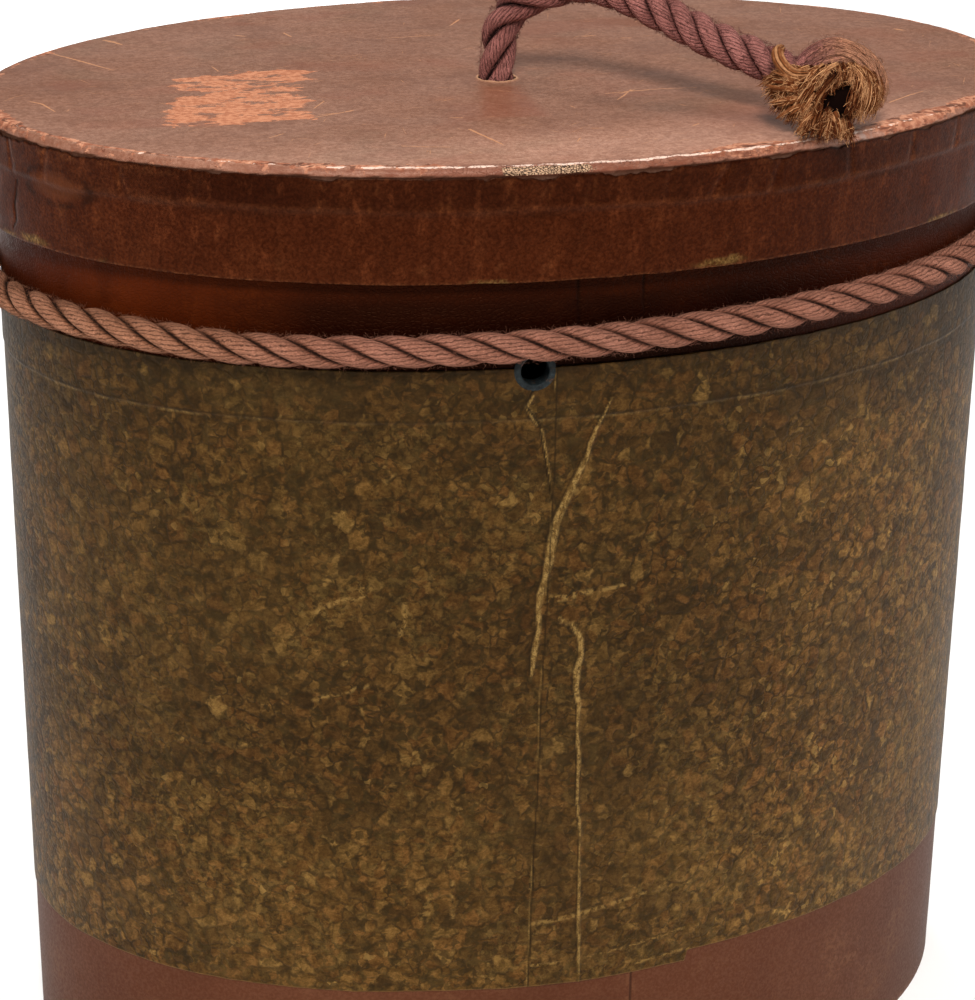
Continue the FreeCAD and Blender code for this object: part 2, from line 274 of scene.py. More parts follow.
# ------------------------------------------------------------------ materials
class Mat:
    def __init__(self, name):
        self.m = bpy.data.materials.new(name)
        self.m.use_nodes = True
        self.t = self.m.node_tree
        self.t.nodes.clear()
        self.out = self.t.nodes.new("ShaderNodeOutputMaterial")
        self.b = self.t.nodes.new("ShaderNodeBsdfPrincipled")
        self.t.links.new(self.b.outputs[0], self.out.inputs[0])
        self._obj = None

    def link(self, a, b):
        self.t.links.new(a, b)

    def put(self, sock, v):
        if isinstance(v, bpy.types.NodeSocket):
            self.link(v, sock)
        elif isinstance(v, (tuple, list)) and len(v) == 3 and sock.type == "RGBA":
            sock.default_value = (*v, 1.0)
        else:
            sock.default_value = v

    def node(self, kind, props=None, out=0, **ins):
        n = self.t.nodes.new(kind)
        for k, v in (props or {}).items():
            setattr(n, k, v)
        for k, v in ins.items():
            key = int(k[1:]) if k[0] == "i" and k[1:].isdigit() else k.replace("_", " ")
            self.put(n.inputs[key], v)
        return n.outputs[out]

    def obj(self):
        if self._obj is None:
            self._obj = self.t.nodes.new("ShaderNodeTexCoord").outputs["Object"]
        return self._obj

    def scaled(self, v, s, loc=(0, 0, 0), rot=(0, 0, 0)):
        return self.node("ShaderNodeMapping", i0=v, i1=loc, i2=rot, i3=s)

    def attr(self, name, vec=False):
        n = self.t.nodes.new("ShaderNodeAttribute")
        n.attribute_name = name
        return n.outputs["Vector"] if vec else n.outputs["Fac"]

    def math(self, op, a, b=0.0, c=None, clamp=False):
        n = self.t.nodes.new("ShaderNodeMath")
        n.operation = op
        n.use_clamp = clamp
        self.put(n.inputs[0], a)
        self.put(n.inputs[1], b)
        if c is not None:
            self.put(n.inputs[2], c)
        return n.outputs[0]

    def add(self, a, b): return self.math("ADD", a, b)
    def sub(self, a, b): return self.math("SUBTRACT", a, b)
    def mul(self, a, b): return self.math("MULTIPLY", a, b)
    def mx(self, a, b): return self.math("MAXIMUM", a, b)
    def mn(self, a, b): return self.math("MINIMUM", a, b)
    def inv(self, a): return self.math("SUBTRACT", 1.0, a)

    def ramp(self, x, lo, hi, a=0.0, b=1.0, smoothstep=True):
        n = self.t.nodes.new("ShaderNodeMapRange")
        n.interpolation_type = "SMOOTHSTEP" if smoothstep else "LINEAR"
        n.clamp = True
        self.put(n.inputs[0], x)
        n.inputs[1].default_value = lo
        n.inputs[2].default_value = hi
        n.inputs[3].default_value = a
        n.inputs[4].default_value = b
        return n.outputs[0]

    def noise(self, v, scale, detail=3.0, rough=0.55, dist=0.0, color=False):
        n = self.t.nodes.new("ShaderNodeTexNoise")
        self.put(n.inputs["Vector"], v)
        n.inputs["Scale"].default_value = scale
        n.inputs["Detail"].default_value = detail
        n.inputs["Roughness"].default_value = rough
        n.inputs["Distortion"].default_value = dist
        return n.outputs["Color"] if color else n.outputs[0]

    def voronoi(self, v, scale, feature="F1", out="Distance", rand=1.0):
        n = self.t.nodes.new("ShaderNodeTexVoronoi")
        n.feature = feature
        self.put(n.inputs["Vector"], v)
        n.inputs["Scale"].default_value = scale
        n.inputs["Randomness"].default_value = rand
        return n.outputs[out]

    def warp(self, v, scale, amount, detail=2.0):
        c = self.noise(v, scale, detail, color=True)
        s = self.node("ShaderNodeVectorMath", {"operation": "SUBTRACT"}, i0=c, i1=(0.5, 0.5, 0.5))
        m = self.node("ShaderNodeVectorMath", {"operation": "SCALE"}, i0=s, i3=amount)
        return self.node("ShaderNodeVectorMath", {"operation": "ADD"}, i0=v, i1=m)

    def mix(self, f, a, b, blend="MIX"):
        n = self.t.nodes.new("ShaderNodeMix")
        n.data_type = "RGBA"
        n.blend_type = blend
        n.clamp_factor = True
        self.put(n.inputs[0], f)
        self.put(n.inputs[6], a)
        self.put(n.inputs[7], b)
        return n.outputs[2]

    def colors(self, f, stops, interp="LINEAR"):
        n = self.t.nodes.new("ShaderNodeValToRGB")
        r = n.color_ramp
        r.interpolation = interp
        while len(r.elements) > 1:
            r.elements.remove(r.elements[-1])
        r.elements[0].position = stops[0][0]
        r.elements[0].color = (*stops[0][1], 1)
        for p, c in stops[1:]:
            e = r.elements.new(p)
            e.color = (*c, 1)
        self.put(n.inputs[0], f)
        return n.outputs[0]

    def hue(self, col, h=0.5, s=1.0, v=1.0):
        return self.node("ShaderNodeHueSaturation", Hue=h, Saturation=s, Value=v, Color=col)

    def bump(self, height, strength=0.3, dist=0.001, normal=None):
        n = self.t.nodes.new("ShaderNodeBump")
        n.inputs["Strength"].default_value = strength
        n.inputs["Distance"].default_value = dist
        self.put(n.inputs["Height"], height)
        if normal is not None:
            self.put(n.inputs["Normal"], normal)
        return n.outputs[0]

    def set(self, **kw):
        for k, v in kw.items():
            self.put(self.b.inputs[k.replace("_", " ")], v)
        return self.m


def use(ob, mat):
    ob.data.materials.clear()
    ob.data.materials.append(mat)


def cad(node, mat):
    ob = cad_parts[node]
    for sl in ob.material_slots:
        sl.material = mat
    if not ob.material_slots:
        ob.data.materials.append(mat)


# final colour gain of each covering, to sit right under these lights
GAIN = {
    "cork": (0.268, 0.198, 0.098),
    "base": (0.312, 0.245, 0.182),
    "neck": (0.262, 0.112, 0.033),
    "rim": (0.372, 0.224, 0.136),
    "lid": (0.845, 0.795, 0.735),
    "rope_neck": (1.20, 1.02, 1.00),
    "rope_lift": (1.20, 0.97, 0.98),
    "twine": (0.7, 0.7, 0.7),
    "fray": (0.50, 0.345, 0.260),
}


def gain(m, col, key):
    return m.mix(1.0, col, GAIN[key], "MULTIPLY")


# ------------------------------------------------------------------ cork paper
def mat_cork():
    m = Mat("cork_paper")
    o = m.obj()
    w = m.warp(o, 190.0, 0.0042, 2.0)
    w2 = m.warp(w, 700.0, 0.0011, 1.0)
    # two sizes of flake, chosen by a slow mask
    small_mask = m.ramp(m.noise(o, 75.0, 2.0), 0.50, 0.56)
    dA = m.voronoi(w2, 158.0, "DISTANCE_TO_EDGE")
    cA = m.voronoi(w2, 158.0, "F1", "Color")
    dB = m.voronoi(w2, 285.0, "DISTANCE_TO_EDGE")
    cB = m.voronoi(w2, 285.0, "F1", "Color")
    d = m.node("ShaderNodeMix", {"data_type": "FLOAT"}, i0=small_mask, i2=dA, i3=m.mul(dB, 0.9))
    c = m.mix(small_mask, cA, cB)
    sep = m.t.nodes.new("ShaderNodeSeparateColor")
    m.link(c, sep.inputs[0])
    r, g, b_ = sep.outputs
    flake = m.colors(r, [(0.0, (0.070, 0.036, 0.011)), (0.16, (0.112, 0.062, 0.020)),
                         (0.40, (0.175, 0.100, 0.036)), (0.58, (0.150, 0.082, 0.026)),
                         (0.78, (0.235, 0.142, 0.056)), (0.92, (0.205, 0.134, 0.056)),
                         (1.0, (0.350, 0.240, 0.110))])
    flake = m.mix(m.mul(m.ramp(g, 0.70, 0.78), 0.65), flake, (0.185, 0.088, 0.030))
    flake = m.mix(m.mul(m.ramp(g, 0.20, 0.12), 0.60), flake, (0.070, 0.040, 0.013))
    # shading inside each flake
    inner = m.noise(m.scaled(w, (1.0, 1.0, 1.4)), 800.0, 4.0, 0.65)
    flake = m.mix(m.ramp(inner, 0.34, 0.68), m.hue(flake, 0.5, 1.06, 0.66), m.hue(flake, 0.505, 0.94, 1.26))
    edge = m.ramp(m.add(d, m.mul(m.sub(m.noise(o, 1500.0, 2.0), 0.5), 0.05)), 0.02, 0.15, 1.0, 0.0)
    edge = m.mul(edge, m.ramp(m.noise(o, 330.0, 2.0), 0.34, 0.58, 0.20, 1.0))
    col = m.mix(m.mul(edge, 0.92), flake, (0.040, 0.024, 0.008))
    # the filling between flakes, dark and greenish, in places
    mort = m.mul(m.ramp(d, 0.30, 0.10), m.ramp(m.noise(w, 150.0, 3.0), 0.54, 0.62))
    col = m.mix(m.mul(mort, 0.75), col, (0.062, 0.044, 0.016))
    # dark specks and pale specks
    speck = m.voronoi(w, 460.0, "F1", "Color")
    sp = m.t.nodes.new("ShaderNodeSeparateColor"); m.link(speck, sp.inputs[0])
    col = m.mix(m.mul(m.ramp(sp.outputs[0], 0.88, 0.92), 0.7), col, (0.034, 0.024, 0.010))
    pale_fleck = m.mul(m.ramp(sp.outputs[1], 0.955, 0.975), m.ramp(m.noise(o, 35.0, 3.0), 0.50, 0.62))
    col = m.mix(m.mul(pale_fleck, 0.55), col, (0.40, 0.30, 0.15))
    # large scale: dusty lighter zones and dirt
    dust = m.ramp(m.noise(o, 13.0, 5.0, 0.6), 0.42, 0.72)
    col = m.mix(m.mul(dust, 0.22), col, (0.235, 0.175, 0.085))
    dirt = m.ramp(m.noise(m.scaled(o, (1, 1, 1), (3.1, 1.7, 0.3)), 9.0, 4.0), 0.52, 0.72)
    col = m.mix(m.mul(dirt, 0.30), col, (0.055, 0.034, 0.013))
    shade = m.attr("shade")
    col = m.mix(m.mul(shade, 0.62), col, (0.040, 0.022, 0.008))
    # rubbed patches: pale scuffed paper
    rub = m.mul(m.attr("rub"), m.ramp(m.noise(m.warp(o, 180.0, 0.004), 420.0, 5.0, 0.72), 0.47, 0.58))
    col = m.mix(m.mul(rub, 0.62), col, (0.40, 0.30, 0.14))
    # painted light: lighter towards the foot and the right
    col = m.mix(m.attr("lit"), col, m.hue(col, 0.5, 0.97, 1.9))
    cl = m.noise(m.warp(o, 150.0, 0.006, 3.0), 230.0, 4.0, 0.65)
    col = m.mix(m.ramp(cl, 0.38, 0.62), m.hue(col, 0.5, 1.05, 0.66), m.hue(col, 0.5, 0.95, 1.36))
    # torn paper lines
    brk = m.noise(w, 620.0, 3.0, 0.6)
    faint = m.mul(m.attr("faint"), m.ramp(m.noise(m.warp(o, 200.0, 0.004), 300.0, 4.0, 0.7), 0.44, 0.58))
    col = m.mix(m.mul(faint, 0.62), col, (0.78, 0.600, 0.330))
    crumb = m.ramp(m.noise(m.warp(o, 420.0, 0.002), 1500.0, 3.0, 0.6), 0.40, 0.52, 0.45, 1.0)
    torn = m.mul(m.mul(m.attr("torn"), m.ramp(brk, 0.24, 0.42)), crumb)
    torn_col = m.mix(m.ramp(m.noise(m.scaled(o, (1, 1, 0.6)), 700.0, 4.0, 0.65), 0.38, 0.62), (0.30, 0.215, 0.100), (0.84, 0.680, 0.420))
    col = m.mix(m.mul(torn, 0.90), col, torn_col)
    # cracks, dark seam and crease lines, and a painted shadow along one side of the torn ridge
    dark = m.attr("crack_and_shadow")
    col = m.mix(m.mul(dark, 0.92), col, (0.016, 0.008, 0.003))
    cut = m.attr("cut")
    col = m.mix(m.mul(cut, m.ramp(m.noise(o, 500.0, 2.0), 0.25, 0.6, 0.35, 1.0)), col, (0.46, 0.30, 0.155))
    h = m.add(m.mul(m.ramp(d, 0.0, 0.16), 0.7), m.add(m.mul(inner, 0.5), m.mul(m.noise(o, 2600.0, 2.0), 0.12)))
    nrm = m.bump(h, 0.38, 0.00035)
    return m.set(Base_Color=gain(m, col, "cork"), Roughness=m.ramp(inner, 0.3, 0.7, 0.60, 0.48), Normal=nrm,
                 Specular_IOR_Level=0.16, Specular_Tint=(1.0, 0.72, 0.42))


EYE_X, EYE_Z = -31.0, 288.0
seam_pts = [(-24.2, 289.5), (-24.2, 280.6), (-24.1, 259), (-24.6, 239.6), (-25.6, 209.6), (-26.8, 178),
            (-27.5, 141.5), (-28.5, 115), (-29.0, 90), (-29.6, 62)]
seam_sz = np.array([(s_of_x(x), z) for x, z in seam_pts])
_o = np.argsort(seam_sz[:, 1])


def seam_s(z):
    return np.interp(z, seam_sz[_o, 1], seam_sz[_o, 0])


def L2(pts):
    return [(float(s_of_x(x)), z) for x, z in pts]


torn_lines = [
    (L2([(-5.6, 277.6), (-8.2, 272.0), (-10.6, 267.0), (-12.4, 262.5), (-13.6, 257.5), (-16.2, 252.5), (-18.2, 247.5),
         (-21.2, 241.0), (-23.2, 236.0), (-24.4, 229.0)]),
     [0.22, 0.38, 0.55, 0.7, 0.8, 1.0, 1.1, 1.3, 1.35, 1.55]),
    (L2([(-24.4, 229.0), (-25.2, 222.5), (-26.4, 216.5), (-27.8, 211.0), (-28.4, 206.0)]),
     [1.6, 1.5, 1.0, 1.3, 0.9]),
    (L2([(-28.4, 206.0), (-28.0, 199.0), (-29.6, 190.0), (-30.2, 182.0)]), [1.0, 0.8, 1.1, 0.5]),
    (L2([(-22.0, 202.0), (-16.6, 199.0), (-14.0, 194.0), (-13.7, 188.0), (-15.0, 182.0), (-15.2, 176.0), (-14.0, 170.0)]),
     [0.6, 0.9, 1.0, 0.9, 1.3, 1.0, 0.9]),
    (L2([(-14.0, 170.0), (-14.4, 160.0), (-13.4, 150.0), (-13.9, 141.0), (-13.6, 133.0)]), [0.7, 0.55, 0.8, 0.5, 0.55]),
    (L2([(-13.6, 133.0), (-12.5, 123.0), (-12.4, 108.0), (-12.2, 96.0), (-12.0, 84.0), (-11.7, 72.0), (-11.5, 62.0)]),
     [0.45, 0.5, 0.35, 0.55, 0.6, 0.4, 0.45]),
    # along the eyelet's tear
    (L2([(-31.4, 280.2), (-33.4, 276.6), (-31.6, 272.8), (-29.4, 269.4)]), [0.5, 0.7, 0.8, 0.4]),
    (L2([(-28.6, 268.6), (-27.4, 262.0), (-26.2, 256.0), (-25.2, 250.0)]), [0.45, 0.45, 0.35, 0.25]),
]
faint_lines = [
    (L2([(-28.6, 209.6), (-21.0, 209.0), (-14.0, 210.2), (-6.0, 210.6), (1.5, 211.6)]), [1.3, 1.4, 1.1, 0.8, 0.5]),
    (L2([(-29.4, 88.2), (-22.0, 88.6), (-13.0, 89.6), (-2.0, 91.6), (8.0, 93.4), (18.0, 95.4)]), [0.7, 0.9, 1.0, 0.8, 0.6, 0.4]),
    (L2([(-30.0, 71.8), (-22.0, 71.6), (-12.0, 72.2), (-2.0, 73.0), (9.0, 74.2), (20.0, 75.6), (28.0, 76.6)]),
     [0.6, 0.45, 0.4, 0.3, 0.4, 0.5, 0.4]),
    (L2([(9.0, 66.6), (18.0, 67.4), (28.5, 68.2)]), [0.4, 0.5, 0.6]),
    (L2([(-100.0, 173.5), (-93.5, 176.8), (-86.5, 178.8), (-80.0, 180.6)]), [0.5, 0.8, 0.7, 0.35]),
    (L2([(106.0, 212.0), (107.2, 203.0), (109.4, 196.0)]), [0.5, 0.7, 0.4]),
    (L2([(-56.0, 108.0), (-54.8, 98.0), (-55.4, 92.0)]), [0.5, 0.7, 0.4]),
    (L2([(-98.0, 206.0), (-92.0, 210.0), (-84.0, 212.0)]), [0.8, 1.1, 0.6]),
    (L2([(-72.0, 212.0), (-71.0, 205.0), (-72.5, 198.0)]), [0.6, 1.2, 0.6]),
]
crack_lines = [
    (L2([(-31.6, 281.4), (-33.8, 276.8), (-31.2, 273.2), (-29.2, 269.8), (-28.2, 264.0), (-27.0, 257.0), (-25.8, 250.0), (-24.8, 243.0)]),
     [0.40, 0.50, 0.62, 0.55, 0.45, 0.36, 0.3, 0.2]),
]
seam_line = [(list(map(tuple, seam_sz)), 0.22)]

s_front = [(-52, 30, 0.5)]
s_cols = spaced(-PERIM / 2, PERIM / 2, 1.35, s_front)[:-1]
z_rows = spaced(64.2, 289.0, 1.15, [(204, 214, 0.6), (268.5, 286, 0.45), (86, 97, 0.6), (64, 78, 0.5), (286, 289.2, 0.4)])


def cork_bottom(s):
    """Lower edge of the cork paper: a lapped end hangs lower up to x = 28."""
    base = 64.2 + 0.35 * fbm(s / 9.0, s * 0, 0.3, 5, 3)
    lap = smooth(28.6, 29.6, s) * (1 - smooth(30, 190, s)) * 3.0
    low = smooth(-60, -28, s) * (1 - smooth(28.4, 29.4, s)) * 0.9
    return base + lap - low


def cork_disp(S, Z):
    """Height of the paper over its nominal face, mm."""
    h = 0.16 * fbm(S / 26.0, Z / 26.0, 0, 11, 3) + 0.05 * fbm(S / 5.0, Z / 5.0, 0, 12, 2)
    crease = 271.6 + 0.35 * fbm(S / 14.0, S * 0, 1.7, 21, 3)
    h = h + 0.34 * smooth(-0.35, 0.35, Z - crease)
    lap = smooth(-0.3, 0.3, S - seam_s(Z)) * (1 - smooth(16, 60, S))
    h = h + 0.22 * lap
    sd, near = line_field(S, Z, torn_lines)
    h = h + near * 0.55 * np.exp(-(sd / 1.15) ** 2) * (0.75 + 0.5 * fbm(S / 1.3, Z / 1.3, 0, 3, 2))
    sd, near = line_field(S, Z, crack_lines)
    h = h + near * (0.30 * np.exp(-((np.abs(sd) - 1.9) / 0.9) ** 2) - 0.30 * np.exp(-(sd / 0.9) ** 2))
    return h


def build_cork():
    S = np.tile(s_cols, (len(z_rows), 1))
    Z = np.tile(z_rows[:, None], (1, len(s_cols)))
    zb = cork_bottom(s_cols)
    fade = clamp01(1 - (Z - 64.2) / 12.0)
    Zr = Z + fade * (zb - 64.2)
    top_wob = 0.18 * fbm(s_cols / 6.0, s_cols * 0, 2.2, 31, 3)
    Zr = Zr + clamp01((Z - 286.0) / 3.0) * top_wob
    D = cork_disp(S, Zr)
    D = np.clip(D, -0.3, 0.95)
    off_out = 5.7 - D
    # hole for the eyelet's barrel: slide the nearest vertices onto its rim
    rows = [(off_out[i], Zr[i]) for i in range(len(z_rows))]
    rows.append((off_out[-1] + 0.12, Zr[-1] + 0.10))
    rows.append((6.02, Zr[-1] + 0.02))
    for zz in list(np.arange(288.4, 281.5, -0.5)) + [272.4, 200.0, 130.0, 70.0]:
        rows.append((6.06, zz))
    rows.append((6.04, Zr[0] + 0.02))
    rows.append((off_out[0] + 0.14, Zr[0] - 0.08))

    def attrs(S, Z, O):
        sd, near = line_field(S, Z, torn_lines)
        torn = near * (1 - smooth(0.55, 1.25, np.abs(sd)))
        crease = 271.6 + 0.35 * fbm(S / 14.0, S * 0, 1.7, 21, 3)
        dz = Z - crease
        cr = (1 - smooth(0.15, 0.75, np.abs(dz + 0.25)))
        gaps = smooth(-0.30, 0.25, fbm(S / 11.0, S * 0, 4.4, 22, 3))
        cr = cr * (0.30 + 0.70 * gaps)
        # painted shadow along one side of the torn ridge
        ridge_shadow = near * np.exp(-((sd - 1.35) / 0.35) ** 2)
        torn = np.maximum(torn, 0.52 * cr * smooth(-0.22, 0.22, fbm(S / 6.0, S * 0, 9.4, 122, 4)))
        sdf, nearf = line_field(S, Z, faint_lines)
        faint = nearf * (1 - smooth(0.45, 1.3, np.abs(sdf)))
        # painted light: lighter low down, at the right and at the far left end
        lit = 0.52 * smooth(165, 90, Z) + 0.92 * smooth(20, 100, S) * (1 - smooth(250, 300, S)) + 0.35 * smooth(-175, -205, S) * (S > -300)
        lit = lit * smooth(262, 240, Z)
        sdc, nearc = line_field(S, Z, crack_lines)
        crack_and_shadow = nearc * (1 - smooth(0.5, 1.05, np.abs(sdc)))
        sds, nears = line_field(S, Z, seam_line)
        seam_dark = nears * (1 - smooth(0.6, 1.9, np.abs(sds + 0.6)))
        crack_and_shadow = np.maximum(crack_and_shadow, seam_dark * 0.85)
        seam_pale = nears * (1 - smooth(0.5, 1.6, np.abs(sds - 1.6))) * smooth(-0.2, 0.3, fbm(Z / 12.0, S * 0, 0, 7, 2))
        torn = np.maximum(torn, seam_pale * 0.6)
        crack_and_shadow = np.maximum(crack_and_shadow, 0.55 * (1 - smooth(0.1, 0.6, np.abs(dz - 0.75))))
        rub = np.zeros_like(S)
        for (x, z, rx, rz, a) in [(-96, 205, 12, 9, .9), (-84, 214, 9, 5, .9), (-103, 196, 14, 6, .7), (-72, 205, 5, 8, .8),
                                  (-95, 235, 9, 12, .45), (-90, 262, 22, 7, .40), (-70, 267, 16, 4, .5),
                                  (-60, 120, 30, 14, .35), (60, 110, 40, 16, .35), (120, 190, 16, 40, .40),
                                  (100, 240, 26, 20, .30), (-120, 110, 26, 40, .40), (-150, 160, 18, 70, .35),
                                  (150, 150, 22, 80, .35), (20, 96, 18, 5, .5), (-64, 98, 3, 9, .8)]:
            sx = s_of_x(x)
            rub = np.maximum(rub, a * np.exp(-((S - sx) / rx) ** 2 - ((Z - z) / rz) ** 2))
        back = 0.32 * smooth(0.1, 0.5, fbm(S / 34.0, Z / 34.0, 0, 77, 3))
        rub = np.maximum(rub, back)
        shade = smooth(276, 289, Z) * 0.45 + 0.46 * smooth(248, 270, Z)
        shade = shade * (0.75 + 0.35 * fbm(S / 18.0, Z / 10.0, 0, 9, 2))
        cut = ((O > off_mid(S)) & (Z > 288.0)).astype(float)
        lowcut = (1 - smooth(0.0, 0.55, Z - cork_bottom(S))) * 0.9
        cut = np.maximum(cut, lowcut)
        crack_and_shadow = np.maximum(crack_and_shadow, 0.75 * ridge_shadow)
        return {"faint": clamp01(faint), "lit": clamp01(lit), "torn": clamp01(torn), "crack_and_shadow": clamp01(crack_and_shadow), "rub": clamp01(rub), "shade": clamp01(shade), "cut": clamp01(cut)}

    def off_mid(S):
        return np.zeros_like(S) + 5.86
    ob = loft("cork_sheet", s_cols, rows, attrs, hole=5.2)
    use(ob, mat_cork())
    return ob


# ------------------------------------------------------------------ leathercloth
def mat_base():
    m = Mat("leathercloth_base")
    o = m.obj()
    big = m.noise(o, 14.0, 5.0, 0.6)
    col = m.colors(big, [(0.25, (0.165, 0.054, 0.028)), (0.5, (0.215, 0.077, 0.042)), (0.75, (0.265, 0.105, 0.060))])
    streak = m.noise(m.scaled(o, (1.0, 1.0, 0.22)), 60.0, 3.0)
    col = m.mix(m.mul(m.ramp(streak, 0.45, 0.75), 0.30), col, (0.15, 0.045, 0.024))
    fine = m.noise(o, 900.0, 3.0, 0.6)
    col = m.mix(m.ramp(fine, 0.35, 0.7), m.hue(col, 0.5, 1.03, 0.88), m.hue(col, 0.503, 0.94, 1.12))
    low = m.attr("wear")
    brk = m.ramp(m.noise(m.warp(o, 300.0, 0.002), 420.0, 4.0, 0.7), 0.46, 0.58)
    col = m.mix(m.mul(low, brk), col, (0.40, 0.21, 0.12))
    col = m.mix(m.mul(m.attr("dark"), 0.85), col, (0.045, 0.014, 0.008))
    pits = m.voronoi(o, 900.0, "F1", "Distance")
    h = m.add(m.mul(fine, 0.6), m.mul(m.ramp(pits, 0.0, 0.35), 0.4))
    return m.set(Base_Color=gain(m, col, "base"), Roughness=m.ramp(fine, 0.3, 0.7, 0.62, 0.52), Normal=m.bump(h, 0.22, 0.00025),
                 Specular_IOR_Level=0.18, Specular_Tint=(1.0, 0.65, 0.45))


def mat_neck():
    m = Mat("leathercloth_neck")
    o = m.obj()
    big = m.noise(m.scaled(o, (1.0, 1.0, 0.5)), 22.0, 4.0)
    col = m.colors(big, [(0.28, (0.060, 0.016, 0.006)), (0.5, (0.095, 0.028, 0.011)), (0.75, (0.150, 0.050, 0.020))])
    grain_v = m.warp(m.scaled(o, (1.0, 1.0, 1.25)), 220.0, 0.0020)
    g1 = m.voronoi(grain_v, 640.0, "DISTANCE_TO_EDGE")
    g2 = m.noise(grain_v, 420.0, 4.0, 0.6)
    crease = m.ramp(g1, 0.0, 0.20, 1.0, 0.0)
    col = m.mix(m.mul(crease, 0.42), col, (0.035, 0.010, 0.004))
    rub = m.mul(m.attr("wear"), m.ramp(m.noise(o, 300.0, 4.0, 0.7), 0.42, 0.60))
    col = m.mix(m.mul(rub, 0.75), col, (0.26, 0.105, 0.045))
    col = m.mix(m.mul(m.attr("dark"), 0.9), col, (0.012, 0.004, 0.002))
    h = m.add(m.mul(m.inv(crease), 0.8), m.mul(g2, 0.7))
    # painted light: the band is lighter and redder towards its left end, a little at the right
    col = m.mix(m.mul(m.attr("painted_end_light"), 0.8), col, (0.30, 0.105, 0.045))
    col = m.mix(m.mul(m.attr("shade"), m.ramp(m.noise(o, 30.0, 3.0), 0.3, 0.7, 0.85, 1.0)), col, (0.014, 0.003, 0.0010))
    return m.set(Base_Color=gain(m, col, "neck"), Roughness=m.ramp(g2, 0.3, 0.7, 0.42, 0.56), Normal=m.bump(h, 0.42, 0.0004),
                 Specular_IOR_Level=0.080, Specular_Tint=(1.0, 0.42, 0.22))


def mat_rim():
    m = Mat("leathercloth_rim")
    o = m.obj()
    big = m.noise(m.scaled(o, (1.0, 1.0, 0.75)), 16.0, 5.0, 0.6)
    col = m.colors(big, [(0.25, (0.066, 0.019, 0.008)), (0.5, (0.105, 0.032, 0.014)), (0.75, (0.160, 0.056, 0.027))])
    streak = m.noise(m.scaled(o, (1.0, 1.0, 0.10)), 120.0, 4.0, 0.65)
    col = m.mix(m.mul(m.ramp(streak, 0.50, 0.72), 0.30), col, (0.185, 0.072, 0.036))
    col = m.mix(m.mul(m.ramp(streak, 0.48, 0.30), 0.32), col, (0.050, 0.014, 0.006))
    fine = m.noise(o, 1100.0, 3.0, 0.6)
    col = m.mix(m.ramp(fine, 0.35, 0.7), m.hue(col, 0.5, 1.03, 0.84), m.hue(col, 0.502, 0.95, 1.16))
    # painted highlight: paler greyish line along the ridge below the tabs
    grey = m.mul(m.attr("ridge"), m.ramp(m.noise(o, 180.0, 4.0), 0.38, 0.62, 0.35, 1.0))
    col = m.mix(m.mul(grey, 0.55), col, (0.150, 0.083, 0.060))
    tab = m.mul(m.attr("tab"), m.ramp(m.noise(m.warp(o, 220.0, 0.003), 300.0, 4.0, 0.65), 0.42, 0.56))
    col = m.mix(m.mul(tab, 0.80), col, (0.330, 0.150, 0.075))
    wear = m.mul(m.attr("wear"), m.ramp(m.noise(m.warp(o, 260.0, 0.002), 520.0, 4.0, 0.7), 0.42, 0.56))
    col = m.mix(m.mul(wear, 0.85), col, (0.33, 0.165, 0.090))
    chip = m.mul(m.attr("chip"), m.ramp(m.noise(o, 600.0, 4.0, 0.7), 0.34, 0.50))
    chip_c = m.mix(m.ramp(m.noise(o, 900.0, 2.0), 0.4, 0.6), (0.20, 0.17, 0.070), (0.36, 0.33, 0.17))
    col = m.mix(m.mul(chip, 0.90), col, chip_c)
    # cracks, with painted shadow lines below the tabs' edge and under the top cover's edge
    col = m.mix(m.mul(m.attr("dark"), 0.92), col, (0.010, 0.004, 0.002))
    speck = m.voronoi(m.warp(o, 300.0, 0.003), 260.0, "F1", "Distance")
    sp = m.mul(m.ramp(speck, 0.05, 0.02), m.ramp(m.noise(o, 50.0, 2.0), 0.52, 0.60))
    col = m.mix(m.mul(sp, 0.6), col, (0.30, 0.17, 0.10))
    gr = m.voronoi(m.warp(o, 240.0, 0.002), 700.0, "DISTANCE_TO_EDGE")
    h = m.add(m.mul(m.ramp(gr, 0.0, 0.2), 0.25), m.add(m.mul(fine, 0.35), m.mul(m.noise(m.scaled(o, (1, 1, 0.5)), 90.0, 3.0), 1.6)))
    col = m.mix(m.mul(m.attr("shade"), m.ramp(m.noise(m.scaled(o, (1, 1, 0.4)), 45.0, 4.0), 0.30, 0.70, 0.55, 1.0)), col, (0.032, 0.0075, 0.0030))
    mott = m.noise(m.scaled(o, (1.0, 1.0, 0.45)), 190.0, 5.0, 0.7)
    col = m.mix(m.mul(m.ramp(mott, 0.50, 0.34), 0.45), col, (0.040, 0.010, 0.004))
    col = m.mix(m.mul(m.ramp(mott, 0.54, 0.67), 0.26), col, (0.270, 0.108, 0.056))
    pit = m.noise(m.warp(o, 300.0, 0.003), 900.0, 4.0, 0.7)
    col = m.mix(m.ramp(pit, 0.36, 0.66), m.hue(col, 0.5, 1.05, 0.68), m.hue(col, 0.503, 0.98, 1.36))
    bl = m.attr("blotch")
    col = m.mix(m.mul(m.ramp(bl, 0.55, 1.0), 0.42), col, (0.23, 0.105, 0.060))
    col = m.mix(m.mul(m.attr("ring"), m.ramp(m.noise(o, 160.0, 3.0), 0.40, 0.60, 0.2, 0.9)), col, (0.030, 0.010, 0.005))
    return m.set(Base_Color=gain(m, col, "rim"), Roughness=m.ramp(m.noise(o, 60.0, 4.0), 0.35, 0.7, 0.34, 0.50), Normal=m.bump(h, 0.30, 0.00035),
                 Specular_IOR_Level=0.065, Specular_Tint=(1.0, 0.50, 0.30))


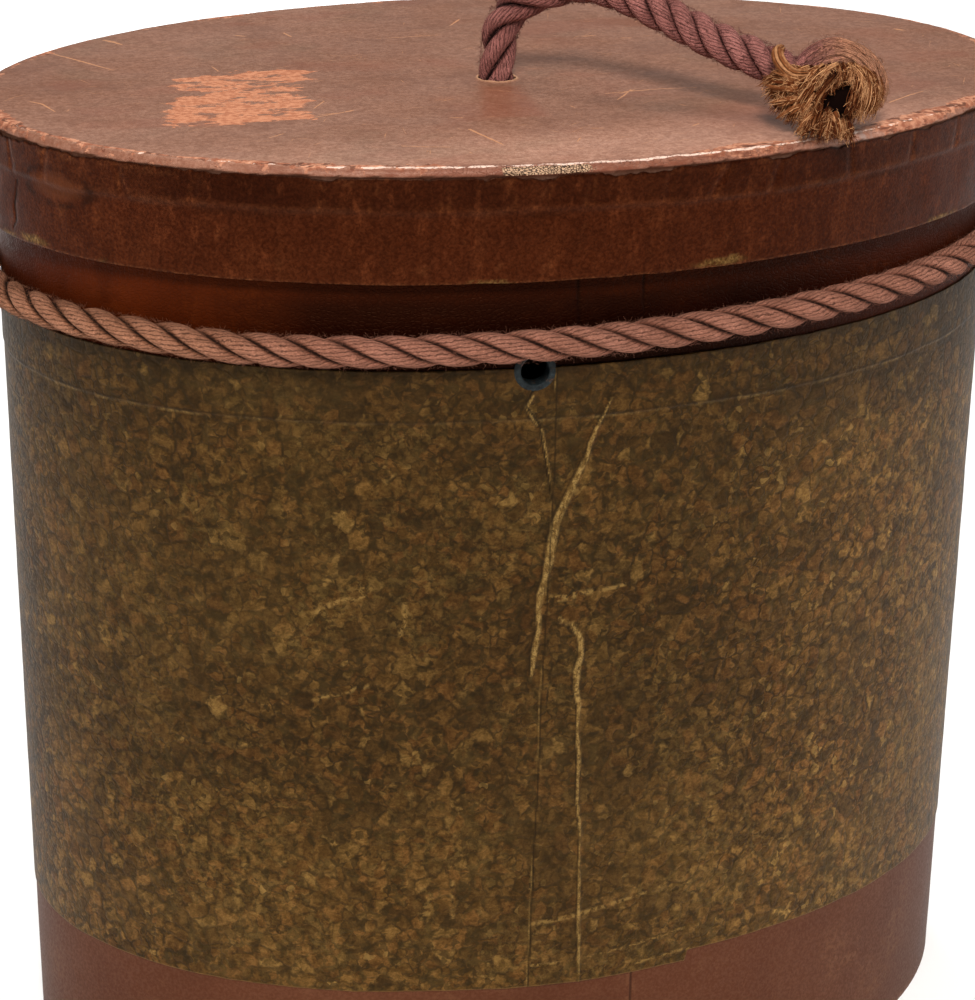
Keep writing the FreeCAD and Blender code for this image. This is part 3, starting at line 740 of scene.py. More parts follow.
def mat_lidtop():
    m = Mat("leathercloth_lid")
    o = m.obj()
    big = m.noise(o, 9.0, 5.0, 0.6)
    col = m.colors(big, [(0.28, (0.205, 0.088, 0.055)), (0.5, (0.245, 0.112, 0.072)), (0.72, (0.285, 0.140, 0.096))])
    st = m.noise(m.scaled(o, (0.22, 1.0, 1.0), rot=(0, 0, 0.25)), 75.0, 4.0, 0.6)
    col = m.mix(m.mul(m.ramp(st, 0.48, 0.72), 0.14), col, (0.155, 0.078, 0.055))
    olive = m.ramp(m.noise(m.scaled(o, (1, 1, 1), (0.7, 0.2, 0)), 26.0, 4.0), 0.50, 0.72)
    col = m.mix(m.mul(olive, 0.30), col, (0.160, 0.098, 0.062))
    fine = m.noise(o, 900.0, 4.0, 0.65)
    col = m.mix(m.ramp(fine, 0.32, 0.70), m.hue(col, 0.5, 1.04, 0.86), m.hue(col, 0.502, 0.94, 1.15))
    grain = m.noise(m.warp(m.scaled(o, (0.92, 1.0, 1.0)), 120.0, 0.004), 360.0, 5.0, 0.72)
    col = m.mix(m.ramp(grain, 0.36, 0.66), m.hue(col, 0.5, 1.03, 0.84), m.hue(col, 0.501, 0.96, 1.17))
    cloud = m.noise(m.scaled(o, (1, 1, 1), (2.2, 0.9, 0)), 42.0, 5.0, 0.65)
    col = m.mix(m.mul(m.ramp(cloud, 0.50, 0.36), 0.35), col, (0.150, 0.062, 0.038))
    # painted sheen: the front part of the top is lighter
    sy = m.t.nodes.new("ShaderNodeSeparateXYZ"); m.link(o, sy.inputs[0])
    col = m.mix(m.mul(m.ramp(sy.outputs[1], -0.066, -0.108), m.ramp(big, 0.25, 0.6, 0.75, 1.0)), col, m.hue(col, 0.5, 0.90, 1.55))
    # thin scratches everywhere, short, mostly along X
    red = m.mul(m.attr("red"), 0.75)
    col = m.mix(red, col, (0.235, 0.070, 0.038))
    sc = m.mul(m.attr("near"), m.ramp(m.add(m.math("ABSOLUTE", m.attr("sd")), m.mul(m.sub(m.noise(o, 800.0, 3.0), 0.5), 1.9)), 0.35, 1.05, 1.0, 0.0))
    sc2 = m.mul(m.attr("near2"), m.ramp(m.add(m.math("ABSOLUTE", m.attr("sd2")), m.mul(m.sub(m.noise(o, 700.0, 3.0), 0.5), 2.4)), 0.20, 0.95, 1.0, 0.0))
    scr = m.mx(sc, m.mul(sc2, 0.62))
    col = m.mix(m.mul(scr, 0.85), col, (0.56, 0.270, 0.140))
    # scraped patch: streaky
    pv = m.warp(m.scaled(o, (0.50, 1.0, 1.0), rot=(0, 0, 0.30)), 160.0, 0.010, 3.0)
    pn = m.noise(pv, 190.0, 6.0, 0.66)
    pm = m.ramp(m.add(m.attr("patch"), m.mul(m.sub(pn, 0.5), 2.9)), 0.46, 0.54)
    pcol = m.mix(m.ramp(m.noise(o, 500.0, 3.0), 0.35, 0.65), (0.430, 0.160, 0.085), (0.640, 0.285, 0.165))
    col = m.mix(m.mul(pm, 0.92), col, pcol)
    # the roll over the edge is darker and redder where the finish is whole
    rn = m.ramp(m.noise(m.warp(m.scaled(o, (0.7, 1.0, 2.0)), 220.0, 0.004), 240.0, 5.0, 0.66), 0.30, 0.62, 1.0, 0.55)
    col = m.mix(m.mul(m.mul(m.attr("roll"), rn), 0.80), col, (0.150, 0.048, 0.028))
    # worn edge
    en = m.noise(m.warp(o, 240.0, 0.004, 3.0), 300.0, 5.0, 0.68)
    em = m.ramp(m.add(m.attr("edge"), m.mul(m.sub(en, 0.5), 1.9)), 0.46, 0.58)
    ecol = m.mix(m.ramp(m.noise(o, 420.0, 4.0), 0.35, 0.65), (0.300, 0.098, 0.052), (0.620, 0.300, 0.190))
    thin = m.ramp(m.noise(m.warp(m.scaled(o, (0.6, 1.0, 3.4)), 200.0, 0.004), 300.0, 4.0, 0.6), 0.47, 0.41)
    ecol = m.mix(m.mul(thin, 0.85), ecol, (0.075, 0.022, 0.012))
    col = m.mix(m.mul(em, 0.90), col, ecol)
    # painted highlight along the front of the rolled edge
    sn = m.noise(m.warp(m.scaled(o, (0.45, 1.0, 1.0)), 300.0, 0.003, 3.0), 420.0, 4.0, 0.65)
    sm = m.ramp(m.add(m.attr("edge_highlight"), m.mul(m.sub(sn, 0.5), 2.0)), 0.52, 0.66)
    col = m.mix(m.mul(sm, 0.80), col, (0.86, 0.66, 0.58))
    # dry flake texture and cracks on the rolled edge
    cr = m.voronoi(m.warp(m.scaled(o, (1.0, 1.0, 2.0)), 300.0, 0.002), 520.0, "DISTANCE_TO_EDGE")
    crk = m.mul(m.ramp(cr, 0.0, 0.07, 1.0, 0.0), m.attr("roll"))
    col = m.mix(m.mul(crk, 0.80), col, (0.040, 0.016, 0.008))
    grey = m.mul(m.attr("scuff"), m.ramp(m.noise(m.warp(o, 300, 0.003), 500.0, 4.0, 0.7), 0.44, 0.60))
    col = m.mix(m.mul(grey, 0.7), col, (0.34, 0.29, 0.28))
    lown = m.ramp(m.noise(m.warp(m.scaled(o, (0.7, 1.0, 2.4)), 220.0, 0.004), 260.0, 5.0, 0.66), 0.36, 0.60, 1.0, 0.45)
    col = m.mix(m.mul(m.mul(m.attr("under"), lown), 0.88), col, (0.150, 0.046, 0.026))
    # painted shadow: dark line where the top cover's edge meets the rim, and on the turned-down skirt
    col = m.mix(m.mul(m.attr("dark"), 0.9), col, (0.025, 0.010, 0.006))
    col = m.mix(m.attr("lip"), col, (0.58, 0.33, 0.20))
    gr = m.voronoi(m.warp(o, 260.0, 0.002), 800.0, "DISTANCE_TO_EDGE")
    h = m.add(m.mul(m.ramp(gr, 0.0, 0.2), 0.22), m.add(m.mul(fine, 0.45), m.mul(scr, -0.5)))
    h = m.add(h, m.add(m.mul(pm, -0.35), m.add(m.mul(em, -0.4), m.mul(crk, -1.2))))
    rough = m.mix(m.mx(pm, m.mul(em, 0.7)), m.ramp(m.noise(o, 40.0, 4.0), 0.35, 0.7, 0.40, 0.52), (0.62, 0.62, 0.62))
    gloss = m.mul(m.attr("roll"), m.inv(m.mul(em, 0.5)))
    rough = m.mix(m.mul(gloss, 0.35), rough, (0.30, 0.30, 0.30))
    # beige crackle on the front of the roll
    ck = m.voronoi(m.warp(m.scaled(o, (1.0, 1.0, 1.9)), 500.0, 0.0018), 1000.0, "DISTANCE_TO_EDGE")
    ckc = m.mix(m.ramp(ck, 0.05, 0.20), (0.018, 0.007, 0.003), (0.46, 0.300, 0.195))
    col = m.mix(m.ramp(m.add(m.attr("crackle"), m.mul(m.sub(m.noise(m.warp(o, 200.0, 0.004), 300.0, 4.0, 0.65), 0.5), 1.3)), 0.42, 0.54), col, ckc)
    return m.set(Base_Color=gain(m, col, "lid"), Roughness=rough, Normal=m.bump(h, 0.30, 0.0003), Specular_IOR_Level=m.mul(m.add(0.15, m.mul(gloss, 0.08)), m.inv(m.attr("dark"))),
                 Specular_Tint=(1.0, 0.78, 0.66))


def build_base():
    cols = spaced(-PERIM / 2, PERIM / 2, 1.8, [(2, 14, 0.4)])[:-1]
    zs = spaced(1.6, 69.2, 1.6, [])
    sb = s_of_x(8.15)
    rows = []
    for z in zs:
        d = 0.10 * fbm(cols / 22.0, cols * 0 + z / 22.0, 0, 41, 3)
        dd = np.abs(cols - sb)
        d = d - 0.22 * np.exp(-(dd / 0.35) ** 2) + 0.14 * smooth(0, 0.5, cols - sb) * (1 - smooth(8, 18, cols - sb))
        hide = clamp01((z - 62.0) / 3.0)          # stay under the cork paper
        d = d * (1 - hide)
        rows.append((6.1 - np.clip(d, -0.25, 0.22), z))
    rows.append((6.2, 69.2)); rows.append((6.42, 69.0))
    for z in (50.0, 25.0, 3.0):
        rows.append((6.44, z))
    rows.append((6.6, 0.88)); rows.append((12.0, 0.88)); rows.append((23.8, 0.88))
    rows.append((23.9, 0.55)); rows.append((12.0, 0.53)); rows.append((7.6, 0.53)); rows.append((6.6, 0.62)); rows.append((6.22, 1.0))

    def attrs(S, Z, O):
        dd = np.abs(S - sb)
        dark = (1 - smooth(0.15, 0.5, dd)) * 0.9
        wear = (1 - smooth(1.0, 5.0, Z)) * 0.9 + 0.35 * np.exp(-((dd - 1.2) / 0.7) ** 2)
        wear = np.maximum(wear, 0.40 * smooth(0.30, 0.6, fbm(S / 20.0, Z / 20.0, 0, 44, 4)))
        return {"dark": dark, "wear": clamp01(wear)}
    ob = loft("base_cloth", cols, rows, attrs)
    use(ob, mat_base())
    return ob


def build_neck():
    cracks = [(L2([(-17.6, 319.0), (-17.3, 310.0), (-16.6, 301.0), (-17.0, 293.0)]), [0.60, 0.85, 0.75, 0.35]),
              (L2([(4.4, 320.5), (4.2, 313.0), (4.9, 304.0)]), [0.5, 0.62, 0.35])]
    se = float(s_of_x(-31.0))
    cols = spaced(-PERIM / 2, PERIM / 2, 1.7, [(se - 8, se + 8, 0.6), (-24, 10, 0.35)])[:-1]
    zs = spaced(271.6, 351.2, 1.3, [(280, 296, 0.6)])
    S = np.tile(cols, (len(zs), 1)); Z = np.tile(zs[:, None], (1, len(cols)))
    sd, near = line_field(S, Z, cracks)
    D = 0.12 * fbm(S / 18.0, Z / 18.0, 0, 51, 3) - near * 0.30 * np.exp(-(sd / 1.0) ** 2)
    D = D * smooth(289.5, 292, Z) * (1 - smooth(344, 350, Z))
    rows = [(6.1 - np.clip(D[i], -0.32, 0.1), zs[i]) for i in range(len(zs))]
    rows += [(6.16, 351.55), (6.36, 351.75), (6.7, 351.8), (8.0, 351.8), (9.2, 351.8), (9.42, 351.7), (9.5, 351.5),
             (9.5, 346.0), (9.5, 339.6), (9.46, 339.42), (9.14, 339.42), (9.12, 345.0), (9.12, 351.42), (7.8, 351.43), (6.48, 351.42),
             (6.48, 330.0), (6.48, 300.0)] + [(6.48, z) for z in np.arange(295.0, 280.5, -0.6)] + [(6.48, 272.0), (6.4, 271.62)]

    def attrs(S, Z, O):
        sd, near = line_field(S, Z, cracks)
        dark = near * (1 - smooth(0.4, 1.1, np.abs(sd)))
        wear = 0.55 * smooth(0.15, 0.55, fbm(S / 24.0, Z / 9.0, 0, 52, 4)) + 0.6 * smooth(350.5, 351.6, Z)
        wear = np.maximum(wear, 0.8 * np.exp(-((S - s_of_x(-132)) / 3.0) ** 2) * smooth(0, 0.5, fbm(S, Z / 5.0, 0, 3, 2) + 0.3))
        # painted light at the band's ends
        painted_end_light = 0.55 * smooth(-60, -150, S) * smooth(-290, -230, S) * (0.6 + 0.5 * smooth(-0.3, 0.4, fbm(S / 9.0, Z / 30.0, 0, 53, 3)))
        painted_end_light = np.maximum(painted_end_light, 0.16 * smooth(60, 140, S))
        shade = 0.98 * smooth(-165, -80, S) * (1 - smooth(30, 125, S)) * (0.42 + 0.58 * smooth(317, 308, Z)) + 0.35 * smooth(337, 342, Z) * smooth(-200, -100, S) * (1 - smooth(90, 190, S))
        return {"dark": clamp01(dark), "wear": clamp01(wear), "painted_end_light": clamp01(painted_end_light), "shade": clamp01(np.minimum(shade, 0.96))}
    ob = loft("neck_cloth", cols, rows, attrs, hole=5.2)
    use(ob, mat_neck())
    return ob


# cuts between the turned-down tabs of the lid's top cover: (x at top, x at bottom)
tab_x = [(-170, -171), (-152, -150.5), (-130.3, -133.0), (-112, -111), (-95.8, -96.3), (-81.8, -81.4), (-62, -61), (-41.3, -41.1),
         (-28.2, -32.2), (-15.5, -17.0), (9.9, 8.9), (30.2, 24.0), (48.8, 46.0), (75.5, 76.5), (103.2, 102.4), (125.6, 124.6), (146, 147), (165, 165.6)]
tab_s = [(float(s_of_x(a, 184.0)), float(s_of_x(b, 184.0))) for a, b in tab_x]
_q = tab_s[-1][0] + 24.0
_r = np.random.default_rng(4)
while _q < PERIM + tab_s[0][0] - 14.0:
    tab_s.append((_q, _q + float(_r.uniform(-3, 3))))
    _q += float(_r.uniform(15, 27))


def wrap_s(d):
    return (d + PERIM / 2) % PERIM - PERIM / 2


def tab_field(S, Z):
    """0..1 in the cuts between tabs; they widen downwards."""
    out = np.zeros_like(S)
    for a, b in tab_s:
        f = clamp01((351.5 - Z) / 9.0)
        c = a + (b - a) * f
        w = 0.55 + 0.9 * f
        out = np.maximum(out, np.exp(-(wrap_s(S - c) / w) ** 2))
    return out


def rim_low(S):
    return 341.2 + 1.2 * fbm(S / 30.0, S * 0, 0.7, 61, 3)


left_crack = [([(float(s_of_x(-177.2, 184)), 339.0), (float(s_of_x(-178.2, 184)), 330.0), (float(s_of_x(-178.0, 184)), 325.0),
                (float(s_of_x(-178.9, 184)), 321.4)], [0.35, 0.7, 0.55, 0.35])]


def build_rim():
    cols = spaced(-PERIM / 2, PERIM / 2, 1.0, [(-245, -205, 0.5)])[:-1]
    zs = spaced(318.9, 351.9, 0.75, [])
    S = np.tile(cols, (len(zs), 1)); Z = np.tile(zs[:, None], (1, len(cols)))
    def top_at(s_):
        return 352.45 - 1.3 * smooth(-0.05, 0.6, fbm(s_ / 7.0, s_ * 0, 3.1, 62, 4)) - 0.55 * clamp01(fbm(s_ / 1.9, s_ * 0, 8.1, 63, 2))
    top_edge = top_at(cols)
    f = clamp01((Z - 346.0) / 5.9)
    Zr = Z + f * (top_edge[None, :] - 351.9)
    low = rim_low(S)
    up = smooth(-0.9, 0.9, Zr - low)
    tabs = tab_field(S, Zr)
    D = -0.43 + 0.43 * up * (1 - 0.75 * tabs)
    D = D + 0.10 * fbm(S / 15.0, Zr / 8.0, 0, 64, 3) + 0.035 * fbm(S / 3.0, Zr / 3.0, 0, 65, 2)
    D = D + 0.12 * np.exp(-((Zr - low - 0.6) / 1.1) ** 2)
    # soft dish in the front of the rim, left
    D = D - 0.25 * np.exp(-((S - s_of_x(-150, 184)) / 16.0) ** 2 - ((Zr - 337) / 8.0) ** 2)
    sd, near = line_field(S, Zr, left_crack)
    D = D - near * 0.35 * np.exp(-(sd / 1.0) ** 2)
    D = np.clip(D, -0.72, 0.25)
    lowz = 318.8 + 0.25 * fbm(cols / 8.0, cols * 0, 5.1, 66, 3)
    Zr = Zr + clamp01((321.0 - Z) / 2.1) * (lowz[None, :] - 318.8)
    rows = [(-D[i], Zr[i]) for i in range(len(zs))]
    rows += [(-D[-1] + 0.22, Zr[-1] + 0.10), (0.46, Zr[-1] - 0.05), (0.47, 346.0), (0.60, 342.6), (0.88, 341.8), (0.88, 330.0),
             (0.88, 319.3), (2.2, 319.27), (3.48, 319.3), (3.52, 325.0), (3.52, 330.75), (3.62, 330.85), (3.92, 330.75), (3.95, 325.0),
             (3.95, 319.4), (3.8, 318.95), (3.3, 318.8), (2.2, 318.82), (1.1, 318.75 + (lowz - 318.8) * 0.5), (0.62, lowz - 0.02)]

    def attrs(S, Z, O):
        low = rim_low(S)
        ridge = np.exp(-((Z - low - 0.8) / 1.5) ** 2) * (0.45 + 0.55 * smooth(-0.3, 0.4, fbm(S / 25.0, S * 0, 9.0, 67, 3)))
        tb = tab_field(S, Z)
        tabs = clamp01(np.exp(-((tb - 0.45) / 0.30) ** 2)) * smooth(-0.5, 1.5, Z - low) * (O < 0.5)
        sd, near = line_field(S, Z, left_crack)
        dark = near * (1 - smooth(0.4, 1.1, np.abs(sd)))
        # painted shadow: dark band just below the lower edge of the tabs
        dark = np.maximum(dark, 0.55 * np.exp(-((Z - low + 1.6) / 0.9) ** 2) * smooth(0.0, 0.5, fbm(S / 30.0, S * 0, 2.0, 68, 2)))
        lowz = 318.8
        wear = (1 - smooth(0.25, 0.95, Z - lowz)) * 0.85
        top = smooth(348.9, 350.6, Z) * smooth(0.0, 0.5, fbm(S / 9.0, Z / 3.0, 0, 69, 3))
        wear = np.maximum(wear, 0.7 * top)
        wear = np.maximum(wear, 0.30 * smooth(0.42, 0.62, fbm(S / 6.0, Z / 9.0, 0, 70, 4)))
        chip = np.zeros_like(S)
        for x, z, rx, rz in [(-174.2, 320.6, 6.5, 1.3), (-47.2, 319.2, 6.5, 0.8), (28.0, 320.2, 8.5, 1.25), (33.0, 320.9, 2.6, 1.3),
                             (120.0, 319.3, 5.0, 0.9)]:
            chip = np.maximum(chip, np.exp(-(((S - s_of_x(x, 184)) / rx) ** 2 + ((Z - z - 0.5 * fbm(S / 2.5, S * 0, x, 72, 3)) / rz) ** 2) ** 2.2))
        chip = np.maximum(chip, 0.9 * np.exp(-((Z - 319.1) / 0.9) ** 2) * smooth(0.42, 0.6, fbm(S / 14.0, S * 0, 6.5, 71, 3)))
        chip = chip * (O < 0.7)
        qs = np.hypot((S - s_of_x(-168.0, 184)) / 13.5, (Z - 340.2) / 5.6)
        blotch = clamp01(1.5 - qs) * (O < 0.9)
        ring = np.exp(-((qs - 1.06) / 0.13) ** 2) * (O < 0.9)
        # painted shadow under the top cover's ragged edge
        top_line = smooth(0.85, 0.15, top_at(S) - Z) * (O < 0.9)
        dark = np.maximum(dark, 0.9 * top_line)
        mid_x = smooth(-185, -110, S) * (1 - smooth(40, 130, S))
        shade = np.clip(0.42 * mid_x + 0.55 * mid_x * smooth(low + 0.5, low + 3.0, Z) + 0.25 * smooth(low + 0.5, low + 3.0, Z), 0, 0.96) * (O < 0.9)
        return {"blotch": blotch, "ring": ring, "shade": shade, "ridge": clamp01(ridge), "tab": clamp01(tabs), "dark": clamp01(dark), "wear": clamp01(wear), "chip": clamp01(chip)}
    ob = loft("lid_rim_cloth", cols, rows, attrs)
    use(ob, mat_rim())
    return ob


# scratches on the lid's top: (points, half width), mm
big_scratches = [
    ([(-147.9, 69.2), (-139.7, 53.2), (-131.3, 35.8)], [0.35, 0.75, 0.3]),
    ([(-167.0, 0.1), (-163.1, -5.5), (-160.9, -16.5)], [0.35, 0.6, 0.3]),
    ([(-125.5, 84.2), (-122.8, 80.4), (-120.5, 74.6)], [0.7, 1.3, 0.4]),
    ([(-78.2, 79.4), (-75.0, 76.4)], [0.6, 0.6]),
    ([(-60.2, 78.9), (-59.0, 71.2)], [0.6, 0.6]),
    ([(-97.6, 32.9), (-97.0, 24.5)], [0.25, 0.35]),
    ([(-79.4, -35.2), (-73.5, -26.4)], [0.3, 0.4]),
    ([(-102.7, -68.5), (-97.0, -64.6)], [0.25, 0.35]),
    ([(-82.7, -47.1), (-67.6, -41.4)], [0.35, 0.3]),
    ([(-26.2, 60.2), (-15.8, 60.3), (-5.5, 60.0)], [0.2, 0.35, 0.2]),
    ([(2.2, 74.0), (9.3, 84.3)], [0.35, 0.6]),
    ([(43.4, 43.8), (48.0, 44.0)], [0.6, 0.6]),
    ([(55.7, 37.4), (59.4, 36.4)], [0.45, 0.5]),
    ([(-80.5, -43.7), (-72.5, -43.1), (-67.1, -40.2)], [0.2, 0.3, 0.35]),
    ([(-40.2, -58.7), (-36.1, -60.2)], [0.35, 0.4]),
    ([(-39.0, -74.7), (-36.2, -89.4), (-34.8, -97.4)], [0.55, 0.6, 0.25]),
    ([(-65.8, -89.3), (-59.2, -92.3), (-51.8, -94.7)], [0.4, 0.35, 0.2]),
    ([(20.0, -41.4), (30.3, -40.4), (40.0, -40.2), (53.2, -41.9)], [0.3, 0.5, 0.4, 0.25]),
    ([(20.7, -50.7), (25.4, -45.2), (30.5, -38.0)], [0.3, 0.45, 0.25]),
    ([(2.7, -54.1), (3.4, -57.3)], [0.35, 0.35]),
    ([(-11.4, -99.3), (-8.9, -95.3)], [0.3, 0.4]),
    ([(-1.2, -84.4), (2.7, -85.3)], [0.25, 0.3]),
    ([(38.1, -62.8), (39.7, -64.4)], [0.3, 0.3]),
    ([(31.1, -90.6), (34.2, -88.5)], [0.45, 0.45]),
    ([(106.2, -79.6), (117.6, -71.9), (125.3, -67.7)], [0.4, 0.45, 0.2]),
    ([(159.8, 24.5), (162.4, 21.1)], [0.9, 0.9]),
]
patch_poly = [(-115.3, 19.8), (-94.8, 20.4), (-86.5, 24.8), (-64.3, 20.9), (-83.8, -49.6), (-113.5, -50.2), (-131.5, -44.5), (-124.8, -22.3)]


def poly_sd(px, py, poly):
    """Distance inside (+) or outside (-) a closed outline."""
    p = np.array(poly, float)
    d = np.full(px.shape, 1e9)
    inside = np.zeros(px.shape, bool)
    for i in range(len(p)):
        a, b = p[i], p[(i + 1) % len(p)]
        e = b - a
        u = np.clip(((px - a[0]) * e[0] + (py - a[1]) * e[1]) / (e @ e), 0, 1)
        d = np.minimum(d, np.hypot(px - a[0] - u * e[0], py - a[1] - u * e[1]))
        c = ((a[1] > py) != (b[1] > py)) & (px < (b[0] - a[0]) * (py - a[1]) / (b[1] - a[1] + 1e-12) + a[0])
        inside ^= c
    return np.where(inside, d, -d)


EDGE_HIGHLIGHT = []


def build_lid_top():
    H = np.array([-8.0, -10.6])
    HR = 6.42
    cols = spaced(-PERIM / 2, PERIM / 2, 1.3, [])[:-1]
    t = t_of_s(cols)
    off_e = 0.45 + 2.95                   # where the flat top starts to round over
    ex, ey = plan(off_e, t)
    E = np.stack([ex, ey], -1)
    d = E - H
    d /= np.linalg.norm(d, axis=1)[:, None]
    Hc = H + HR * d
    near_d = np.array([0, 0.25, 0.5, 0.75, 1.0, 1.35, 1.8, 2.4, 3.1, 4.0, 5.0, 6.3, 7.8, 9.5])
    Lt = np.linalg.norm(E - Hc, axis=1)
    w0 = np.concatenate([np.linspace(0.0, 0.88, 92)[1:-1], np.linspace(0.88, 1.0, 26)])
    U = np.concatenate([near_d[:, None] / Lt[None], 9.5 / Lt[None] + w0[:, None] * (1 - 9.5 / Lt[None])])
    u = np.zeros(len(U))
    XY = Hc[None] + U[:, :, None] * (E - Hc)[None]
    X, Y = XY[..., 0], XY[..., 1]
    rr = np.hypot(X - H[0], Y - H[1])
    edge_d = (1 - U) * Lt[None]
    z = TOP + 0 * X
    z = z + 0.10 * fbm(X / 40.0, Y / 40.0, 0, 81, 3) * smooth(2, 12, edge_d)
    z = z - 0.16 * (1 - smooth(20, 110, rr)) * smooth(8, 20, rr)
    lip = np.exp(-((rr - HR - 0.45) / 0.50) ** 2)
    z = z + 0.70 * lip * (0.8 + 0.4 * fbm(X / 2.0, Y / 2.0, 0, 82, 2))
    # worn front edge sags and dents a little
    ang = np.degrees(t)[None] + 0 * X
    dent = 0.35 * clamp01(fbm(cols / 12.0, cols * 0, 0.4, 83, 3) + 0.1)[None]
    z = z - dent * (1 - smooth(0, 7, edge_d)) * (0.4 + 0.6 * (np.abs(ang) < 120))
    rows_xyz = [np.stack([X[i], Y[i], z[i]], -1) for i in range(len(u))]
    tags = [("top", i) for i in range(len(u))]
    zc, r = TOP - 2.95, 2.95
    for a in np.linspace(0, 90, 11)[1:]:
        a = math.radians(a)
        off = off_e - r * math.sin(a)
        x, y = plan(off, t)
        rough_e = 0.12 * fbm(cols / 2.6, cols * 0 + a * 3, 0, 84, 3) + 0.16 * fbm(cols / 11.0, cols * 0 + a, 0, 85, 2)
        nx, ny = np.sin(t), -np.cos(t)
        sag = dent[0] * (0.4 + 0.6 * (np.abs(np.degrees(t)) < 120)) * math.cos(a)
        rows_xyz.append(np.stack([x + nx * rough_e * math.sin(a) - nx * 0.15 * math.sin(a), y + ny * rough_e * math.sin(a) - ny * 0.15 * math.sin(a),
                                  zc + r * math.cos(a) - sag + rough_e * math.cos(a) * 0.6], -1))
        tags.append(("roll", a))
    for zz, off in ((351.6, 0.52), (350.6, 0.56), (349.6, 0.60), (346.0, 0.52), (342.6, 0.50), (342.52, 0.70), (342.6, 0.88), (348.0, 0.88), (351.0, 0.88)):
        x, y = plan(off, t)
        rows_xyz.append(np.stack([x, y, 0 * x + zz], -1))
        tags.append(("skirt", zz))
    for a in np.linspace(90, 0, 6):
        a = math.radians(a)
        off = 0.9 + 2.5 - 2.52 * math.sin(a)
        x, y = plan(off, t)
        rows_xyz.append(np.stack([x, y, 0 * x + TOP - 0.45 - 2.5 + 2.52 * math.cos(a)], -1))
        tags.append(("under", a))
    Hi = H + HR * d
    for f in (0.5, 0.0):
        P = Hi + f * (E - Hi)
        rows_xyz.append(np.stack([P[:, 0], P[:, 1], 0 * cols + TOP - 0.43], -1))
        tags.append(("under", f))
    R, C = len(rows_xyz), len(cols)
    V = np.array(rows_xyz)
    px, py, pz = V[..., 0], V[..., 1], V[..., 2]
    edge_all = np.zeros((R, C)); roll = np.zeros((R, C))
    top_mask = np.zeros((R, C)); skirt = np.zeros((R, C))
    for i, (k, a) in enumerate(tags):
        if k == "top":
            edge_all[i] = edge_d[a]; top_mask[i] = 1
        elif k == "roll":
            edge_all[i] = -a * 2.95; roll[i] = 1; top_mask[i] = 1
        elif k == "skirt":
            edge_all[i] = -6.0; skirt[i] = 1
    sd, near = line_field(px, py, big_scratches, 3.0)
    r2 = np.random.default_rng(33)
    small = []
    for _ in range(300):
        a = r2.uniform(0, 2 * math.pi); q = math.sqrt(r2.uniform(0, 1)) * 0.95
        cx, cy = q * 180 * math.cos(a), q * 122 * math.sin(a)
        th = r2.normal(0.15, 0.5) + (math.pi / 2 if r2.uniform() < 0.2 else 0)
        ln = r2.gamma(2.0, 2.0) + 1.0
        dx, dy = math.cos(th) * ln / 2, math.sin(th) * ln / 2
        small.append(([(cx - dx, cy - dy), (cx, cy + r2.normal(0, 0.3)), (cx + dx, cy + dy)], [0.12, r2.uniform(0.14, 0.34), 0.10]))
    sd2, near2 = line_field(px, py, small, 2.2)
    patch = smooth(-2.5, 6.0, poly_sd(px, py, patch_poly)) * 0.66
    patch = patch * (0.80 + 0.5 * smooth(-0.4, 0.5, fbm(px / 22.0 + 0.3, py / 8.0, 0, 91, 3)))
    inside = poly_sd(px, py, patch_poly) > 0
    # unscraped island in the patch's right part
    isl = np.exp(-((px + 84) / 15.0) ** 2 - ((py + 8) / 11.0) ** 2)
    patch = patch - 0.34 * isl + 0.10 * np.exp(-((px + 103) / 12.0) ** 2 - ((py + 2) / 26.0) ** 2)
    holes = smooth(0.02, 0.34, fbm(px / 15.0 + 0.25 * py / 15.0, py / 3.6, 0, 98, 3)) * (0.45 + 0.75 * smooth(-112, -86, px) * (1 - smooth(8, 16, py)))
    patch = patch + 0.10 - 0.52 * holes
    patch = np.where(poly_sd(px, py, patch_poly) < -2.5, -3.0, patch)
    # worn edge: strong front left and front right, weak at the back
    S = np.tile(cols, (R, 1))
    xx = px
    front = (py < 20)
    amt_f = np.interp(xx, [-185, -150, -85, -62, -44, 14, 24, 48, 60, 82, 92, 140, 184],
                      [0.88, 0.76, 0.70, 0.56, 0.20, 0.18, 0.78, 0.82, 0.48, 0.42, 0.88, 0.80, 0.56])
    amt_b = 0.40 + 0.3 * smooth(-0.2, 0.5, fbm(S / 28.0, S * 0, 1.0, 92, 3))
    amt = np.where(front, amt_f, amt_b) + 0.22 * fbm(S / 9.0, S * 0, 2.0, 96, 3)
    width = 1.2 + 4.2 * smooth(-0.3, 0.6, fbm(S / 14.0, S * 0, 7.0, 93, 3)) * (0.35 + amt)
    width = width + 3.5 * np.exp(-((xx - 108) / 12.0) ** 2) * front + 2.5 * np.exp(-((xx - 36) / 12.0) ** 2) * front
    edge = (1 - smooth(0.3, 1.0, np.abs(edge_all) / width)) * clamp01(amt) * top_mask
    edge = np.where(edge_all < 0, np.maximum(edge, 0.46 * clamp01(amt)), edge)
